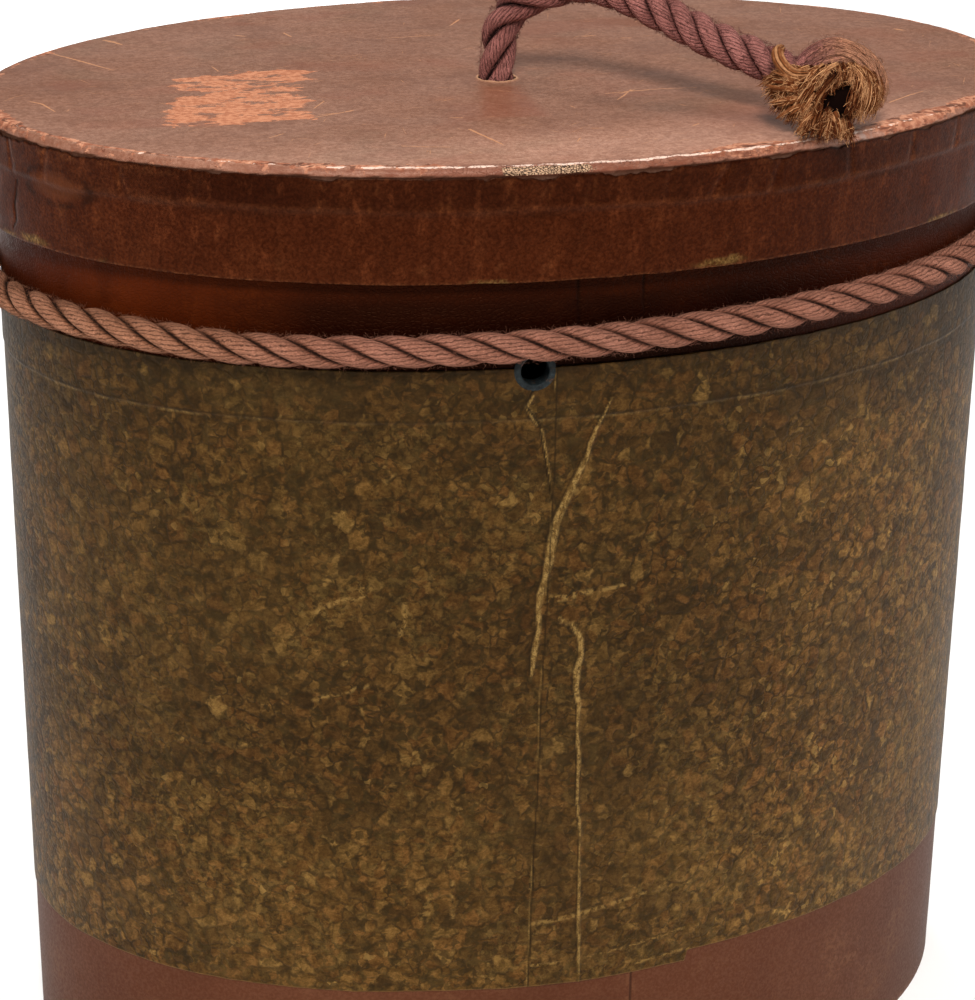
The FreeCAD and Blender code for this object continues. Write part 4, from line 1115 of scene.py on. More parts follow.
    # painted highlight along the front of the roll
    edge_highlight = np.exp(-((edge_all + 1.0 + 0.5 * fbm(S / 6.0, S * 0, 4.4, 197, 3)) / 0.75) ** 2) * front * np.interp(xx, [-185, -120, -75, -20, 30, 75, 110, 185], [0.30, 0.42, 0.80, 0.86, 0.95, 0.70, 0.45, 0.25])
    EDGE_HIGHLIGHT.append(edge_highlight * (edge_all <= 1.2) * top_mask)
    edge = np.where(skirt > 0, 0.15, edge)
    edge = np.where((top_mask > 0) & (edge_all > 0) & (edge < 0.02), -3.0, edge)
    rolls = roll * smooth(-85, -50, xx) * (1 - smooth(45, 70, xx)) * front
    rolls = np.maximum(rolls, 0.25 * roll)
    rolls = np.maximum(rolls, ((edge_all > 0) & (edge_all < 1.2)) * 0.5 * front * smooth(-85, -50, xx) * (1 - smooth(45, 70, xx)))
    crackle = smooth(-46, -41, xx) * (1 - smooth(-19, -13, xx)) * front * roll * smooth(-1.4, -2.0, -(-edge_all)) * (1 - smooth(4.1, 4.5, -edge_all))
    redm = smooth(-2, 4, poly_sd(px, py, [(-17.5, -20.0), (-3.5, -22.5), (-8.0, -66.0), (-33.0, -63.0)])) * 0.55
    redm = np.maximum(redm, 0.65 * np.exp(-((px - 62) / 26.0) ** 2 - ((py + 86) / 20.0) ** 2))
    redm = np.maximum(redm, 0.35 * smooth(0.1, 0.6, fbm(px / 30.0, py / 20.0, 0, 94, 3)))
    scuff = np.exp(-(((px - 77) / 10.0) ** 2 + ((py + 113.5) / 5.0) ** 2) ** 1.3)
    lipm = np.exp(-((np.hypot(px - H[0], py - H[1]) - HR - 0.30) / 0.50) ** 2) * top_mask
    # painted shadow along the bottom of the roll and on the turned-down skirt
    jag = 0.9 * fbm(S / 5.0, S * 0, 3.3, 97, 4)
    darkm = np.where(skirt > 0, 0.95, roll * smooth(4.15, 4.55, -edge_all + jag * 0.8))
    darkm = np.where(top_mask * (edge_all > 0) > 0, 0, darkm)
    attrs = {"sd": sd, "near": near * top_mask, "sd2": sd2, "near2": near2 * top_mask * (edge_all > 1.0), "patch": patch, "edge": edge,
             "roll": clamp01(rolls), "edge_highlight": clamp01(EDGE_HIGHLIGHT[0]), "under": clamp01(smooth(1.5, 2.1, -edge_all) * roll * (0.55 + 0.45 * front * smooth(-130, -90, xx) * (1 - smooth(50, 80, xx)))), "red": clamp01(redm) * top_mask, "scuff": clamp01(scuff), "lip": clamp01(lipm) * 0.9, "dark": clamp01(darkm), "crackle": clamp01(crackle)}
    attrs = {k: v.reshape(-1) for k, v in attrs.items()}
    ob = make_mesh("lid_top_cloth", V.reshape(-1, 3), grid_faces(R, C, True, True, flip=True), attrs)
    use(ob, mat_lidtop())
    return ob


# ------------------------------------------------------------------ rope
def nurbs_points(pts_m, n):
    """Points along a NURBS route, as Blender draws it."""
    cu = bpy.data.curves.new("route", "CURVE")
    cu.dimensions = "3D"
    sp = cu.splines.new("NURBS")
    sp.points.add(len(pts_m) - 1)
    for p, q in zip(sp.points, pts_m):
        p.co = (*q, 1.0)
    sp.order_u = 3
    sp.use_endpoint_u = True
    sp.resolution_u = 24
    cu.bevel_depth = 0.0
    ob = bpy.data.objects.new("route", cu)
    bpy.context.scene.collection.objects.link(ob)
    bpy.context.view_layer.update()
    me = bpy.data.meshes.new_from_object(ob)
    p = np.array([v.co[:] for v in me.vertices])
    bpy.data.meshes.remove(me)
    bpy.data.objects.remove(ob)
    bpy.data.curves.remove(cu)
    return resample(p, n)


def resample(p, n):
    L = np.concatenate([[0], np.cumsum(np.linalg.norm(np.diff(p, axis=0), axis=1))])
    q = np.linspace(0, L[-1], n)
    return np.stack([np.interp(q, L, p[:, k]) for k in range(3)], -1)


def frames(p, start_up=None):
    """Tangents and a normal carried along without twist."""
    t = np.gradient(p, axis=0)
    t /= np.linalg.norm(t, axis=1)[:, None]
    n = np.zeros_like(p)
    u = np.array(start_up if start_up is not None else (0, 0, 1.0))
    if abs(u @ t[0]) > 0.95:
        u = np.array((1.0, 0, 0))
    n[0] = u - t[0] * (u @ t[0])
    n[0] /= np.linalg.norm(n[0])
    for i in range(1, len(p)):
        v = n[i - 1] - t[i] * (n[i - 1] @ t[i])
        n[i] = v / np.linalg.norm(v)
    b = np.cross(t, n)
    return t, n, b


def tube_mesh(p, radius, lobes, lobe_depth, twist, seg, phase=0.0, up=None, squash=None, uvscale=1.0, end_caps=True, taper=None):
    """Tube along p (mm). Its section has `lobes` yarns that turn by `twist` rad per mm.
    Returns verts, faces, groove (0 top of yarn .. 1 in the groove), uv (angle, length)."""
    t, n, b = frames(p, up)
    L = np.concatenate([[0], np.cumsum(np.linalg.norm(np.diff(p, axis=0), axis=1))])
    th = np.linspace(0, 2 * np.pi, seg, endpoint=False)
    TH, LL = np.meshgrid(th, L)
    ph = TH * 1.0 - twist * LL + phase
    lobe = np.abs(np.sin(ph * lobes / 2.0)) ** 0.7
    r = radius * (1 - lobe_depth + lobe_depth * lobe)
    if taper is not None:
        r = r * taper[:, None]
    rn, rb = (1.0, 1.0) if squash is None else squash
    P = p[:, None] + n[:, None] * (r * np.cos(TH) * rn)[..., None] + b[:, None] * (r * np.sin(TH) * rb)[..., None]
    R, C = TH.shape
    verts = P.reshape(-1, 3)
    faces = grid_faces(R, C, True, False, flip=False)
    groove = (1 - lobe).reshape(-1)
    uv = np.stack([ph, LL, TH], -1).reshape(-1, 3)
    if end_caps:
        k = len(verts)
        verts = np.concatenate([verts, p[:1], p[-1:]])
        groove = np.concatenate([groove, [0.5, 0.5]])
        uv = np.concatenate([uv, [[0, L[0], 0]], [[0, L[-1], 0]]])
        j = np.arange(C)
        c0 = np.stack([np.full(C, k), (j + 1) % C, j, j], -1)
        base = (R - 1) * C
        c1 = np.stack([np.full(C, k + 1), base + j, base + (j + 1) % C, base + (j + 1) % C], -1)
        return verts, faces, groove, uv, (c0[:, :3], c1[:, :3])
    return verts, faces, groove, uv, None


def rope_strands(name, p, radius, pitch, seg=36, lobes=12, phase=0.0, up=None, wob=None, rs_f=0.500, flat=1.06, counter=2.25):
    """Three strands laid right-handed round the centre line p (mm). pitch may vary along p.
    Each strand's yarns turn the other way, so that they lie along the rope."""
    t, n, b = frames(p, up)
    L = np.concatenate([[0], np.cumsum(np.linalg.norm(np.diff(p, axis=0), axis=1))])
    pt = np.zeros(len(p)) + pitch
    turn = np.concatenate([[0], np.cumsum(np.diff(L) * 2 * np.pi / ((pt[1:] + pt[:-1]) / 2))])
    rs = radius * rs_f
    rc = radius - rs * 0.98
    V, F, T3, G, U = [], [], [], [], []
    base = 0
    th = np.linspace(-np.pi, np.pi, seg, endpoint=False)
    for k in range(3):
        a = phase + k * 2 * np.pi / 3 + turn
        w = np.ones(len(p)) if wob is None else 1.0 + wob * fbm(L / 9.0, L * 0 + k, 0, 100 + k, 2)
        radial = n * np.cos(a)[:, None] + b * np.sin(a)[:, None]
        c = p + radial * (rc * w)[:, None]
        tt = np.gradient(c, axis=0); tt /= np.linalg.norm(tt, axis=1)[:, None]
        nn = radial - tt * np.sum(radial * tt, axis=1)[:, None]
        nn /= np.linalg.norm(nn, axis=1)[:, None]
        bb = np.cross(tt, nn)
        TH, LL = np.meshgrid(th, L)
        TU = np.repeat(turn[:, None], seg, 1)
        ph = TH + counter * TU + k
        jit = 0.22 * fbm(LL / 5.0, ph * 1.3, 0, 130 + k, 2)
        u = (ph + jit) * lobes / (2 * np.pi)
        lobe = np.abs(np.sin(u * np.pi)) ** 0.7
        r = rs * (0.965 + 0.035 * lobe) * (1 + 0.035 * fbm(LL / 6.0, TH, 0, 120 + k, 2))
        P = c[:, None] + nn[:, None] * (r * np.cos(TH) * 0.98)[..., None] + bb[:, None] * (r * np.sin(TH) * flat)[..., None]
        R, C = TH.shape
        V.append(P.reshape(-1, 3))
        F.append(grid_faces(R, C, True, False, base=base))
        side = clamp01(1.0 - (np.cos(TH) + 0.30) / 0.75)      # where strands press together
        G.append(side.reshape(-1))
        U.append(np.stack([u, LL / 10.0, TH * 0 + k * 7.3], -1).reshape(-1, 3))
        kk = base + R * C
        V.append(np.stack([c[0], c[-1]]))
        G.append(np.array([0.6, 0.6])); U.append(np.zeros((2, 3)))
        j = np.arange(C)
        T3.append(np.stack([np.full(C, kk), base + (j + 1) % C, base + j], -1))
        bs = base + (R - 1) * C
        T3.append(np.stack([np.full(C, kk + 1), bs + j, bs + (j + 1) % C], -1))
        base = kk + 2
    return mixed_mesh(name, np.concatenate(V), np.concatenate(F), np.concatenate(T3),
                      {"groove": np.concatenate(G), "yarn": np.concatenate(U)})


def mixed_mesh(name, V, quads, tris, attrs):
    me = bpy.data.meshes.new(name)
    V = np.ascontiguousarray(V * MM)
    me.vertices.add(len(V)); me.vertices.foreach_set("co", V.ravel())
    nq, nt = len(quads), len(tris)
    loops = np.concatenate([quads.ravel(), tris.ravel()]).astype(np.int32)
    me.loops.add(len(loops)); me.loops.foreach_set("vertex_index", loops)
    me.polygons.add(nq + nt)
    start = np.concatenate([np.arange(nq) * 4, nq * 4 + np.arange(nt) * 3]).astype(np.int32)
    total = np.concatenate([np.full(nq, 4), np.full(nt, 3)]).astype(np.int32)
    me.polygons.foreach_set("loop_start", start); me.polygons.foreach_set("loop_total", total)
    me.update(calc_edges=True); me.validate()
    me.polygons.foreach_set("use_smooth", np.ones(len(me.polygons), dtype=bool))
    for key, arr in attrs.items():
        arr = np.asarray(arr, float)
        if arr.ndim == 1:
            a = me.attributes.new(key, "FLOAT", "POINT"); a.data.foreach_set("value", arr.astype(np.float32))
        else:
            a = me.attributes.new(key, "FLOAT_VECTOR", "POINT"); a.data.foreach_set("vector", arr.astype(np.float32).ravel())
    ob = bpy.data.objects.new(name, me)
    bpy.context.scene.collection.objects.link(ob)
    return ob


def mat_rope(name, dark, mid, light, tan=None, fuzz=1.0):
    m = Mat(name)
    o = m.obj()
    y = m.attr("yarn", True)
    sx = m.t.nodes.new("ShaderNodeSeparateXYZ"); m.link(y, sx.inputs[0])
    wv = m.noise(m.scaled(y, (1.1, 6.0, 1.0)), 1.0, 4.0, 0.65)
    u = m.add(sx.outputs[0], m.mul(m.sub(wv, 0.5), 1.35))
    lobe = m.math("POWER", m.math("ABSOLUTE", m.math("SINE", m.mul(u, math.pi))), 0.55)
    fib = m.noise(m.scaled(y, (2.6, 4.0, 1.0)), 2.6, 5.0, 0.68)
    vary = m.noise(o, 75.0, 3.0)
    col = m.colors(m.add(m.mul(fib, 0.62), m.mul(vary, 0.38)), [(0.30, dark), (0.49, mid), (0.66, light)])
    fine = m.noise(m.scaled(y, (10.0, 5.0, 1.0)), 3.0, 4.0, 0.7)
    col = m.mix(m.mul(m.ramp(fine, 0.54, 0.66), 0.78), col, tuple(min(1, c * 2.2) for c in light))
    col = m.mix(m.mul(m.ramp(fine, 0.48, 0.36), 0.75), col, tuple(c * 0.35 for c in dark))
    brk = m.ramp(m.noise(m.scaled(y, (0.9, 3.0, 1.0)), 1.6, 3.0), 0.34, 0.56, 0.45, 1.0)
    # painted shade in the lines between yarns
    col = m.mix(m.mul(m.mul(m.ramp(lobe, 0.80, 0.20), 0.85), brk), col, tuple(c * 0.26 for c in dark))
    g = m.attr("groove")
    # painted shade where the strands press together, and a painted highlight on their crowns
    col = m.mix(m.mul(m.ramp(m.add(g, m.mul(m.sub(fine, 0.5), 0.5)), 0.20, 0.95), 0.90), col, tuple(c * 0.14 for c in dark))
    col = m.mix(m.ramp(g, 0.32, 0.04), m.mix(m.ramp(g, 0.32, 0.75), col, m.hue(col, 0.5, 1.06, 0.62)), m.hue(col, 0.503, 0.94, 1.24))
    if name == "rope_neck":
        sep = m.t.nodes.new("ShaderNodeSeparateXYZ"); m.link(o, sep.inputs[0])
        col = m.mix(m.ramp(sep.outputs[0], -0.080, -0.150), col, m.hue(col, 0.511, 1.04, 0.98))
    dirty = m.ramp(m.noise(o, 28.0, 4.0), 0.50, 0.74)
    col = m.mix(m.mul(dirty, 0.25), col, tuple(c * 0.55 for c in mid))
    if tan is not None:
        tanf = m.attr("tan")
        tcol = m.mix(m.ramp(fib, 0.35, 0.65), tuple(c * 0.45 for c in tan), tuple(min(1, c * 1.35) for c in tan))
        # painted shade in the lines between yarns
        tcol = m.mix(m.mul(m.ramp(lobe, 0.7, 0.1), 0.55), tcol, tuple(c * 0.20 for c in tan))
        col = m.mix(tanf, col, tcol)
    h = m.add(m.mul(lobe, 1.0), m.add(m.mul(fib, 0.7), m.mul(fine, 0.7)))
    return m.set(Base_Color=gain(m, col, name), Roughness=0.9, Normal=m.bump(h, 1.0, 0.0009), Specular_IOR_Level=0.12)


def mat_fray():
    """Loose fibres: shade picks each hair's colour, root is 0 where it starts, 1 at the tip; hairs are painted dark
    near the root as shade.
    """
    m = Mat("frayed_fibre")
    o = m.obj()
    sh = m.add(m.attr("shade"), m.mul(m.sub(m.noise(o, 500.0, 3.0), 0.5), 0.5))
    col = m.colors(sh, [(0.05, (0.040, 0.010, 0.003)), (0.35, (0.135, 0.045, 0.016)), (0.60, (0.280, 0.135, 0.060)), (0.95, (0.95, 0.700, 0.430))])
    # painted shade: each hair turns near black towards its root, in the knot's hollow
    col = m.mix(m.ramp(m.attr("root"), 0.02, 0.40, 1.0, 0.0), col, (0.006, 0.0018, 0.0008))
    return m.set(Base_Color=gain(m, col, "fray"), Roughness=0.9, Specular_IOR_Level=0.04)


def add_attr(ob, key, arr):
    a = ob.data.attributes.new(key, "FLOAT", "POINT")
    a.data.foreach_set("value", np.asarray(arr, dtype=np.float32))


def add_attr_safe(ob, key, value):
    a = ob.data.attributes.get(key) or ob.data.attributes.new(key, "FLOAT", "POINT")
    a.data.foreach_set("value", np.full(len(ob.data.vertices), value, dtype=np.float32))


ROPE_DARK, ROPE_MID, ROPE_LIGHT = (0.130, 0.048, 0.026), (0.250, 0.105, 0.064), (0.380, 0.180, 0.120)
LIFT_DARK, LIFT_MID, LIFT_LIGHT = (0.115, 0.040, 0.034), (0.215, 0.085, 0.070), (0.340, 0.155, 0.130)
TAN = (0.50, 0.275, 0.155)


def fuzz(name, p, R, count, seed, gap=None):
    """Short loose hairs standing off a rope along p (mm)."""
    q = np.random.default_rng(seed)
    t, n, b = frames(p)
    paths = []
    for _ in range(count):
        i = int(q.integers(2, len(p) - 3))
        a = q.uniform(0, 2 * math.pi)
        d = n[i] * math.cos(a) + b[i] * math.sin(a)
        e = t[i] * q.normal(0, 1.0) + d * q.uniform(0.15, 0.75) + np.cross(t[i], d) * q.normal(0, 0.7)
        e /= np.linalg.norm(e)
        ln = q.uniform(0.8, 2.1)
        s0 = p[i] + d * R * 0.93
        paths.append(np.stack([s0, s0 + e * ln * 0.5 + d * 0.12, s0 + e * ln + d * 0.05 * ln]))
    return bundle_mesh(name, paths, 0.070, 3, tips=lambda u, i: 1.0 - 0.6 * u)


def build_neck_rope():
    slope = 0.021
    tip = math.atan(slope)
    a, b = 183.4 / math.cos(tip), 125.8
    tt = np.linspace(0, 2 * math.pi, 6001)
    x, y = -a * np.sin(tt), b * np.cos(tt)          # starts and ends at the back
    P = np.stack([x, y, 0 * x], -1)
    L = np.concatenate([[0], np.cumsum(np.linalg.norm(np.diff(P, axis=0), axis=1))])
    n = 1500
    q = np.linspace(0, L[-1], n)
    P = np.stack([np.interp(q, L, P[:, k]) for k in range(3)], -1)
    c, s = math.cos(tip), math.sin(tip)
    P = np.stack([P[:, 0] * c, P[:, 1], 298.8 + P[:, 0] * s], -1)
    P[:, 2] += 2.3 * smooth(-105, -172, P[:, 0]) * smooth(45, -25, P[:, 1])
    # open the ends a little, and draw the rope down under the binding
    keep = (q > 0.2) & (q < L[-1] - 0.2)
    P, qq = P[keep], q[keep]
    ob = rope_strands("neck_rope_laid", P, 5.2, 42.0, seg=34, lobes=11, phase=0.9, up=(0, 0, 1), wob=0.03)
    co = np.zeros(len(ob.data.vertices) * 3)
    ob.data.vertices.foreach_get("co", co)
    co = co.reshape(-1, 3) * 1000
    back = (np.abs(co[:, 0]) < 14) & (co[:, 1] > 0)
    cen = np.stack([co[:, 0], 125.8 * np.sqrt(clamp01(1 - (co[:, 0] / 183.4) ** 2)), 298.8 + slope * co[:, 0]], -1)
    k = 1 - 0.125 * (1 - smooth(11.0, 14.0, np.abs(co[:, 0])))
    co = np.where(back[:, None], cen + (co - cen) * k[:, None], co)
    ob.data.vertices.foreach_set("co", np.ascontiguousarray(co * MM).ravel())
    ob.data.update()
    use(ob, mat_rope("rope_neck", ROPE_DARK, ROPE_MID, ROPE_LIGHT))
    fz = fuzz("neck_rope_fuzz", P[60:-60], 5.15, 15000, 61)
    use(fz, bpy.data.materials["rope_neck"])
    # whipping: a helix of thin waxed twine over the joint
    turns = 19
    m = 19 * 26
    u = np.linspace(0, 1, m)
    xs = -11.3 + 22.6 * u
    cy = 125.8 * np.sqrt(1 - (xs / 183.4) ** 2)
    cz = 298.8 + slope * xs
    ang = u * turns * 2 * math.pi
    rad = 4.62
    hp = np.stack([xs, cy + rad * np.cos(ang), cz + rad * np.sin(ang)], -1)
    v, f, g, uv, caps = tube_mesh(hp, 0.60, 3, 0.12, 2.2, 12)
    wh = mixed_mesh("rope_whipping_twine", v, f, np.concatenate(caps), {"groove": g, "yarn": uv})
    use(wh, mat_rope("twine", (0.10, 0.06, 0.03), (0.26, 0.17, 0.09), (0.42, 0.30, 0.17)))
    return ob, wh, fz


LIFT_ROUTE = [(-8.00, -10.60, 355.5), (-8.00, -10.60, 369.5), (-5.08, -13.35, 379.5), (1.67, -22.08, 386.5), (14.25, -33.62, 392.0),
              (25.81, -48.79, 389.0), (40.41, -62.55, 380.8), (53.08, -78.05, 374.7), (66.18, -90.47, 370.5)]


def build_lift_rope():
    path = nurbs_points([(x * MM, y * MM, z * MM) for x, y, z in LIFT_ROUTE], 260)
    p = path / MM
    L = np.concatenate([[0], np.cumsum(np.linalg.norm(np.diff(p, axis=0), axis=1))])
    pit = 41.0 - 11.5 * smooth(18, 62, L)
    ob = rope_strands("lift_rope_laid", p, 6.25, pit, seg=40, lobes=13, phase=2.4, up=(1, 0, 0), wob=0.07, rs_f=0.480, flat=1.0, counter=2.6)
    use(ob, mat_rope("rope_lift", LIFT_DARK, LIFT_MID, LIFT_LIGHT, TAN))
    co = np.zeros(len(ob.data.vertices) * 3); ob.data.vertices.foreach_get("co", co); co = co.reshape(-1, 3) * 1000
    d = np.linalg.norm(co - p[-1], axis=1)
    add_attr(ob, "tan", 0.0 * d)
    lz = fuzz("lift_rope_fuzz", p[8:-4], 6.15, 4200, 62)
    use(lz, bpy.data.materials["rope_lift"])
    add_attr_safe(lz, "tan", 0.0)
    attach(lz, "lid")
    length = float(L[-1]) * MM
    # the part that passes through the lid's board
    tail_p = np.stack([np.full(14, -8.0), np.full(14, -10.6), np.linspace(351.4, 355.45, 14)], -1)
    back_L = 355.5 - 351.4
    tl = rope_strands("lift_rope_through_lid", tail_p, 6.25, 41.0, seg=40, lobes=13, phase=2.4 - 2 * math.pi * back_L / 41.0, up=(1, 0, 0), rs_f=0.480, flat=1.0, counter=2.6)
    use(tl, bpy.data.materials["rope_lift"])
    add_attr(tl, "tan", np.zeros(len(tl.data.vertices)))
    return ob, tl, path, length, p


def bundle_mesh(name, paths, radius, seg=7, tips=None, attrs_tan=1.0):
    """Many thin fibres or yarns as one mesh. paths: list of (n,3) arrays in mm."""
    V, Q, T, G, U, TN = [], [], [], [], [], []
    base = 0
    for i, p in enumerate(paths):
        r = radius[i] if isinstance(radius, (list, np.ndarray)) else radius
        n = len(p)
        tp = np.ones(n) if tips is None else tips(np.linspace(0, 1, n), i)
        t, nn, bb = frames(p)
        th = np.linspace(0, 2 * np.pi, seg, endpoint=False)
        P = p[:, None] + (nn[:, None] * np.cos(th)[None, :, None] + bb[:, None] * np.sin(th)[None, :, None]) * (r * tp)[:, None, None]
        V.append(P.reshape(-1, 3))
        Q.append(grid_faces(n, seg, True, False, base=base))
        G.append(np.zeros(n * seg) + 0.1)
        u = np.linspace(0, 1, n)
        U.append(np.stack([np.tile(th, n), np.repeat(u * 3, seg), np.full(n * seg, i * 3.7)], -1))
        k = base + n * seg
        V.append(np.stack([p[0], p[-1]])); G.append(np.zeros(2)); U.append(np.zeros((2, 3)))
        j = np.arange(seg)
        T.append(np.stack([np.full(seg, k), base + (j + 1) % seg, base + j], -1))
        bs = base + (n - 1) * seg
        T.append(np.stack([np.full(seg, k + 1), bs + j, bs + (j + 1) % seg], -1))
        base = k + 2
    V = np.concatenate(V)
    return mixed_mesh(name, V, np.concatenate(Q), np.concatenate(T), {"groove": np.concatenate(G), "yarn": np.concatenate(U),
                                                                     "tan": np.full(len(V), attrs_tan)})


def smooth_path(pts, n):
    """Catmull-Rom through pts."""
    p = np.array(pts, float)
    p = np.concatenate([[2 * p[0] - p[1]], p, [2 * p[-1] - p[-2]]])
    out = []
    m = len(p) - 3
    for i in range(m):
        a, b, c, d = p[i:i + 4]
        u = np.linspace(0, 1, 12, endpoint=False)[:, None]
        out.append(0.5 * ((2 * b) + (-a + c) * u + (2 * a - 5 * b + 4 * c - d) * u ** 2 + (-a + 3 * b - 3 * c + d) * u ** 3))
    out.append(p[-2][None])
    return resample(np.concatenate(out), n)


def build_end_knot():
    """Knotted end: the three strands turn up and over to the right, then their yarns
    come back through and fan out, frayed, towards the front left."""
    R = np.array(c_right); U = np.array(c_up); F = np.array(c_fwd)
    K = np.array([72.0, -106.0, 368.5])
    r3 = np.random.default_rng(8)

    def at(dx, dy, dz):
        """dx right, dy up, dz towards the viewer, mm, from the knot's middle."""
        return K + R * dx + U * dy - F * dz
    pieces = []
    # thick strands of the turn over the top, each a bundle of yarns
    strands = [
        [(-10.5, 6.0, -3.0), (-5.5, 11.0, -2.5), (1.0, 13.6, -1.0), (8.0, 11.6, -0.5), (13.2, 6.8, -1.0), (15.4, 1.0, -2.2), (13.4, -4.2, -4.0)],
        [(-9.0, 2.5, 0.0), (-3.5, 7.2, 2.0), (2.5, 9.6, 3.0), (8.6, 7.8, 3.0), (12.6, 3.2, 2.0), (13.4, -2.2, 0.4), (11.6, -6.6, -2.0)],
        [(-9.5, 5.5, -8.0), (-3.0, 10.0, -7.5), (4.5, 10.5, -6.5), (11.0, 7.0, -6.5), (13.4, 1.2, -7.0), (12.0, -4.0, -7.5)],
    ]
    ropes = []
    for k, pts in enumerate(strands):
        c = smooth_path([at(*q) for q in pts], 60)
        rad = (3.5, 3.0, 3.4)[k]
        t, n, b = frames(c)
        L = np.linspace(0, 1, len(c))
        # a core that fills the bundle, then yarns twisted round it
        ropes.append((c, rad * 0.80, np.clip(1.0 - 0.25 * L, 0.5, 1)))
        ny = 10
        for j in range(ny):
            ph = j * 2 * math.pi / ny + r3.normal(0, 0.15)
            a = ph + 1.6 * L * 2
            rr = rad * (0.76 + 0.10 * r3.normal()) * (1 + 0.05 * np.sin(9 * L + j))
            y = c + (n * np.cos(a)[:, None] + b * np.sin(a)[:, None]) * rr[:, None] if isinstance(rr, np.ndarray) else c
            ropes.append((y, 0.62 + 0.2 * r3.uniform(), np.ones(len(c)) - 0.35 * L ** 3))
    V = []
    ob = bundle_mesh("rope_end_turn", [q[0] for q in ropes], [q[1] for q in ropes], 8,
                     tips=lambda u, i: np.interp(u, np.linspace(0, 1, len(ropes[i][2])), ropes[i][2]))
    pieces.append(ob)
    # pink near the rope, tan further on
    co = np.zeros(len(ob.data.vertices) * 3); ob.data.vertices.foreach_get("co", co); co = co.reshape(-1, 3) * 1000
    rel = (co - K) @ np.stack([R, U, -F], -1)
    tan = smooth(-9.0, 6.0, rel[:, 0] + 2.5 * vnoise(rel[:, 0], rel[:, 1] * 2, 0, 5))
    a = ob.data.attributes["tan"]; a.data.foreach_set("value", tan.astype(np.float32))
    for k, (c, rad) in enumerate([(q_[0], (3.5, 3.0, 3.4)[i_]) for i_, q_ in enumerate(ropes[::11])]):
        fz = fuzz("rope_end_fluff_%d" % k, c, rad + 0.35, 420, 70 + k)
        fc = np.zeros(len(fz.data.vertices) * 3); fz.data.vertices.foreach_get("co", fc); fc = fc.reshape(-1, 3) * 1000
        add_attr_safe(fz, "tan", 0.0)
        fz.data.attributes["tan"].data.foreach_set("value", smooth(-9.0, 6.0, ((fc - K) @ R)).astype(np.float32))
        pieces.append(fz)
    # frayed yarns in locks, falling left, right and below round a dark hollow
    hairs, hr, hs, hd = [], [], [], []
    q = np.random.default_rng(77)

    def lock(pts, n_h, r0, r1, hair=(0.085, 0.155), shade=0.5, sd=0.25, floor=True, deep=-0.30):
        n_h = int(n_h * 2.1)
        c = smooth_path([at(*w) for w in pts], 18)
        t, n, b = frames(c)
        u = np.linspace(0, 1, len(c))
        base_sh = shade + q.normal(0, 0.10)
        paths = []
        for j in range(n_h):
            rho, fi = math.sqrt(q.uniform(0, 1)), q.uniform(0, 2 * math.pi)
            grow = r0 + (r1 - r0) * u ** 1.4
            sw = fi + 1.5 * u * (1 if j % 2 else 0.6)
            w1, w2 = q.normal(0, 0.75, 2)
            f1, f2 = q.uniform(4, 12, 2)
            y = c + (n * np.cos(sw)[:, None] + b * np.sin(sw)[:, None]) * (rho * grow)[:, None]
            y = y + n * (w1 * np.sin(u * f1 + j))[:, None] * u[:, None] + b * (w2 * np.sin(u * f2 + 2 * j))[:, None] * u[:, None]
            y = resample(y[: max(6, int(len(y) * q.uniform(0.74, 1.0)))], 15)
            paths.append((y, q.uniform(*hair), base_sh + q.normal(0, sd)))
        core_r = np.interp(np.linspace(0, 1, 15), [0, 0.5, 0.8, 1], [r0 * 0.85, (r0 + r1) * 0.40, r1 * 0.34, 0.10])
        # the lock's core, darker: painted shade inside the lock
        paths.append((resample(c[:16], 15), core_r, base_sh - 0.22))
        for y, r, sh_ in paths:
            if floor:
                lift = np.maximum(lid_floor(y[:, 0], y[:, 1]) + 0.35 - y[:, 2], 0)
                y = y.copy(); y[:, 2] += lift
            hairs.append(y); hr.append(r); hs.append(sh_); hd.append(deep)

    def mixp(a, b, f):
        return [tuple(np.array(x) * (1 - f) + np.array(y) * f) for x, y in zip(a, b)]

    # left fall: from the crest down to the left, between these two edges
    left_a = [(-9.5, 4.8, 4.5), (-14.0, 4.6, 6.0), (-19.0, 2.0, 4.5), (-23.2, -1.6, 1.5)]
    left_b = [(-6.0, 5.2, 5.5), (-11.5, 2.0, 8.0), (-16.0, -4.0, 6.0), (-19.0, -9.6, 2.5)]
    left_c = [(-1.5, 5.4, 6.0), (-6.0, 1.5, 9.0), (-11.0, -6.5, 8.0), (-14.2, -14.2, 4.5)]
    left_d = [(3.0, 5.8, 6.0), (0.0, 3.2, 9.0), (-4.4, -2.6, 9.2), (-7.6, -9.6, 8.0), (-9.5, -15.0, 7.5)]
    for px_, py_, sh_ in ((0.6, 0.0, 0.52), (2.6, 1.4, 0.44), (4.6, 0.6, 0.56), (-1.4, -2.6, 0.46)):
        lock([(px_, 6.6, 6.4), (px_ + 0.6, 4.4, 8.8), (px_ + 0.5, 1.6 + py_ * 0.5, 9.2), (px_ - 0.2, py_ - 1.6, 8.8)], 26, 0.9, 1.3, shade=sh_)
    for px_, py_, sh_ in ((-5.0, -8.0, 0.36), (-2.4, -9.6, 0.42), (5.6, -6.0, 0.46)):
        lock([(px_ + 0.8, py_ + 3.0, 5.5), (px_ + 0.2, py_ + 0.8, 8.0), (px_ - 0.6, py_ - 2.0, 9.4), (px_ - 1.4, py_ - 5.0, 9.6)], 22, 0.9, 1.5, shade=sh_, deep=0.0)
    for f in (0.0, 0.34, 0.68):
        lock(mixp(left_a, left_b, f + q.normal(0, .04)), 34, 1.5, 2.3, shade=0.62)
        lock(mixp(left_b, left_c, f + q.normal(0, .04)), 34, 1.6, 2.3, shade=0.50)
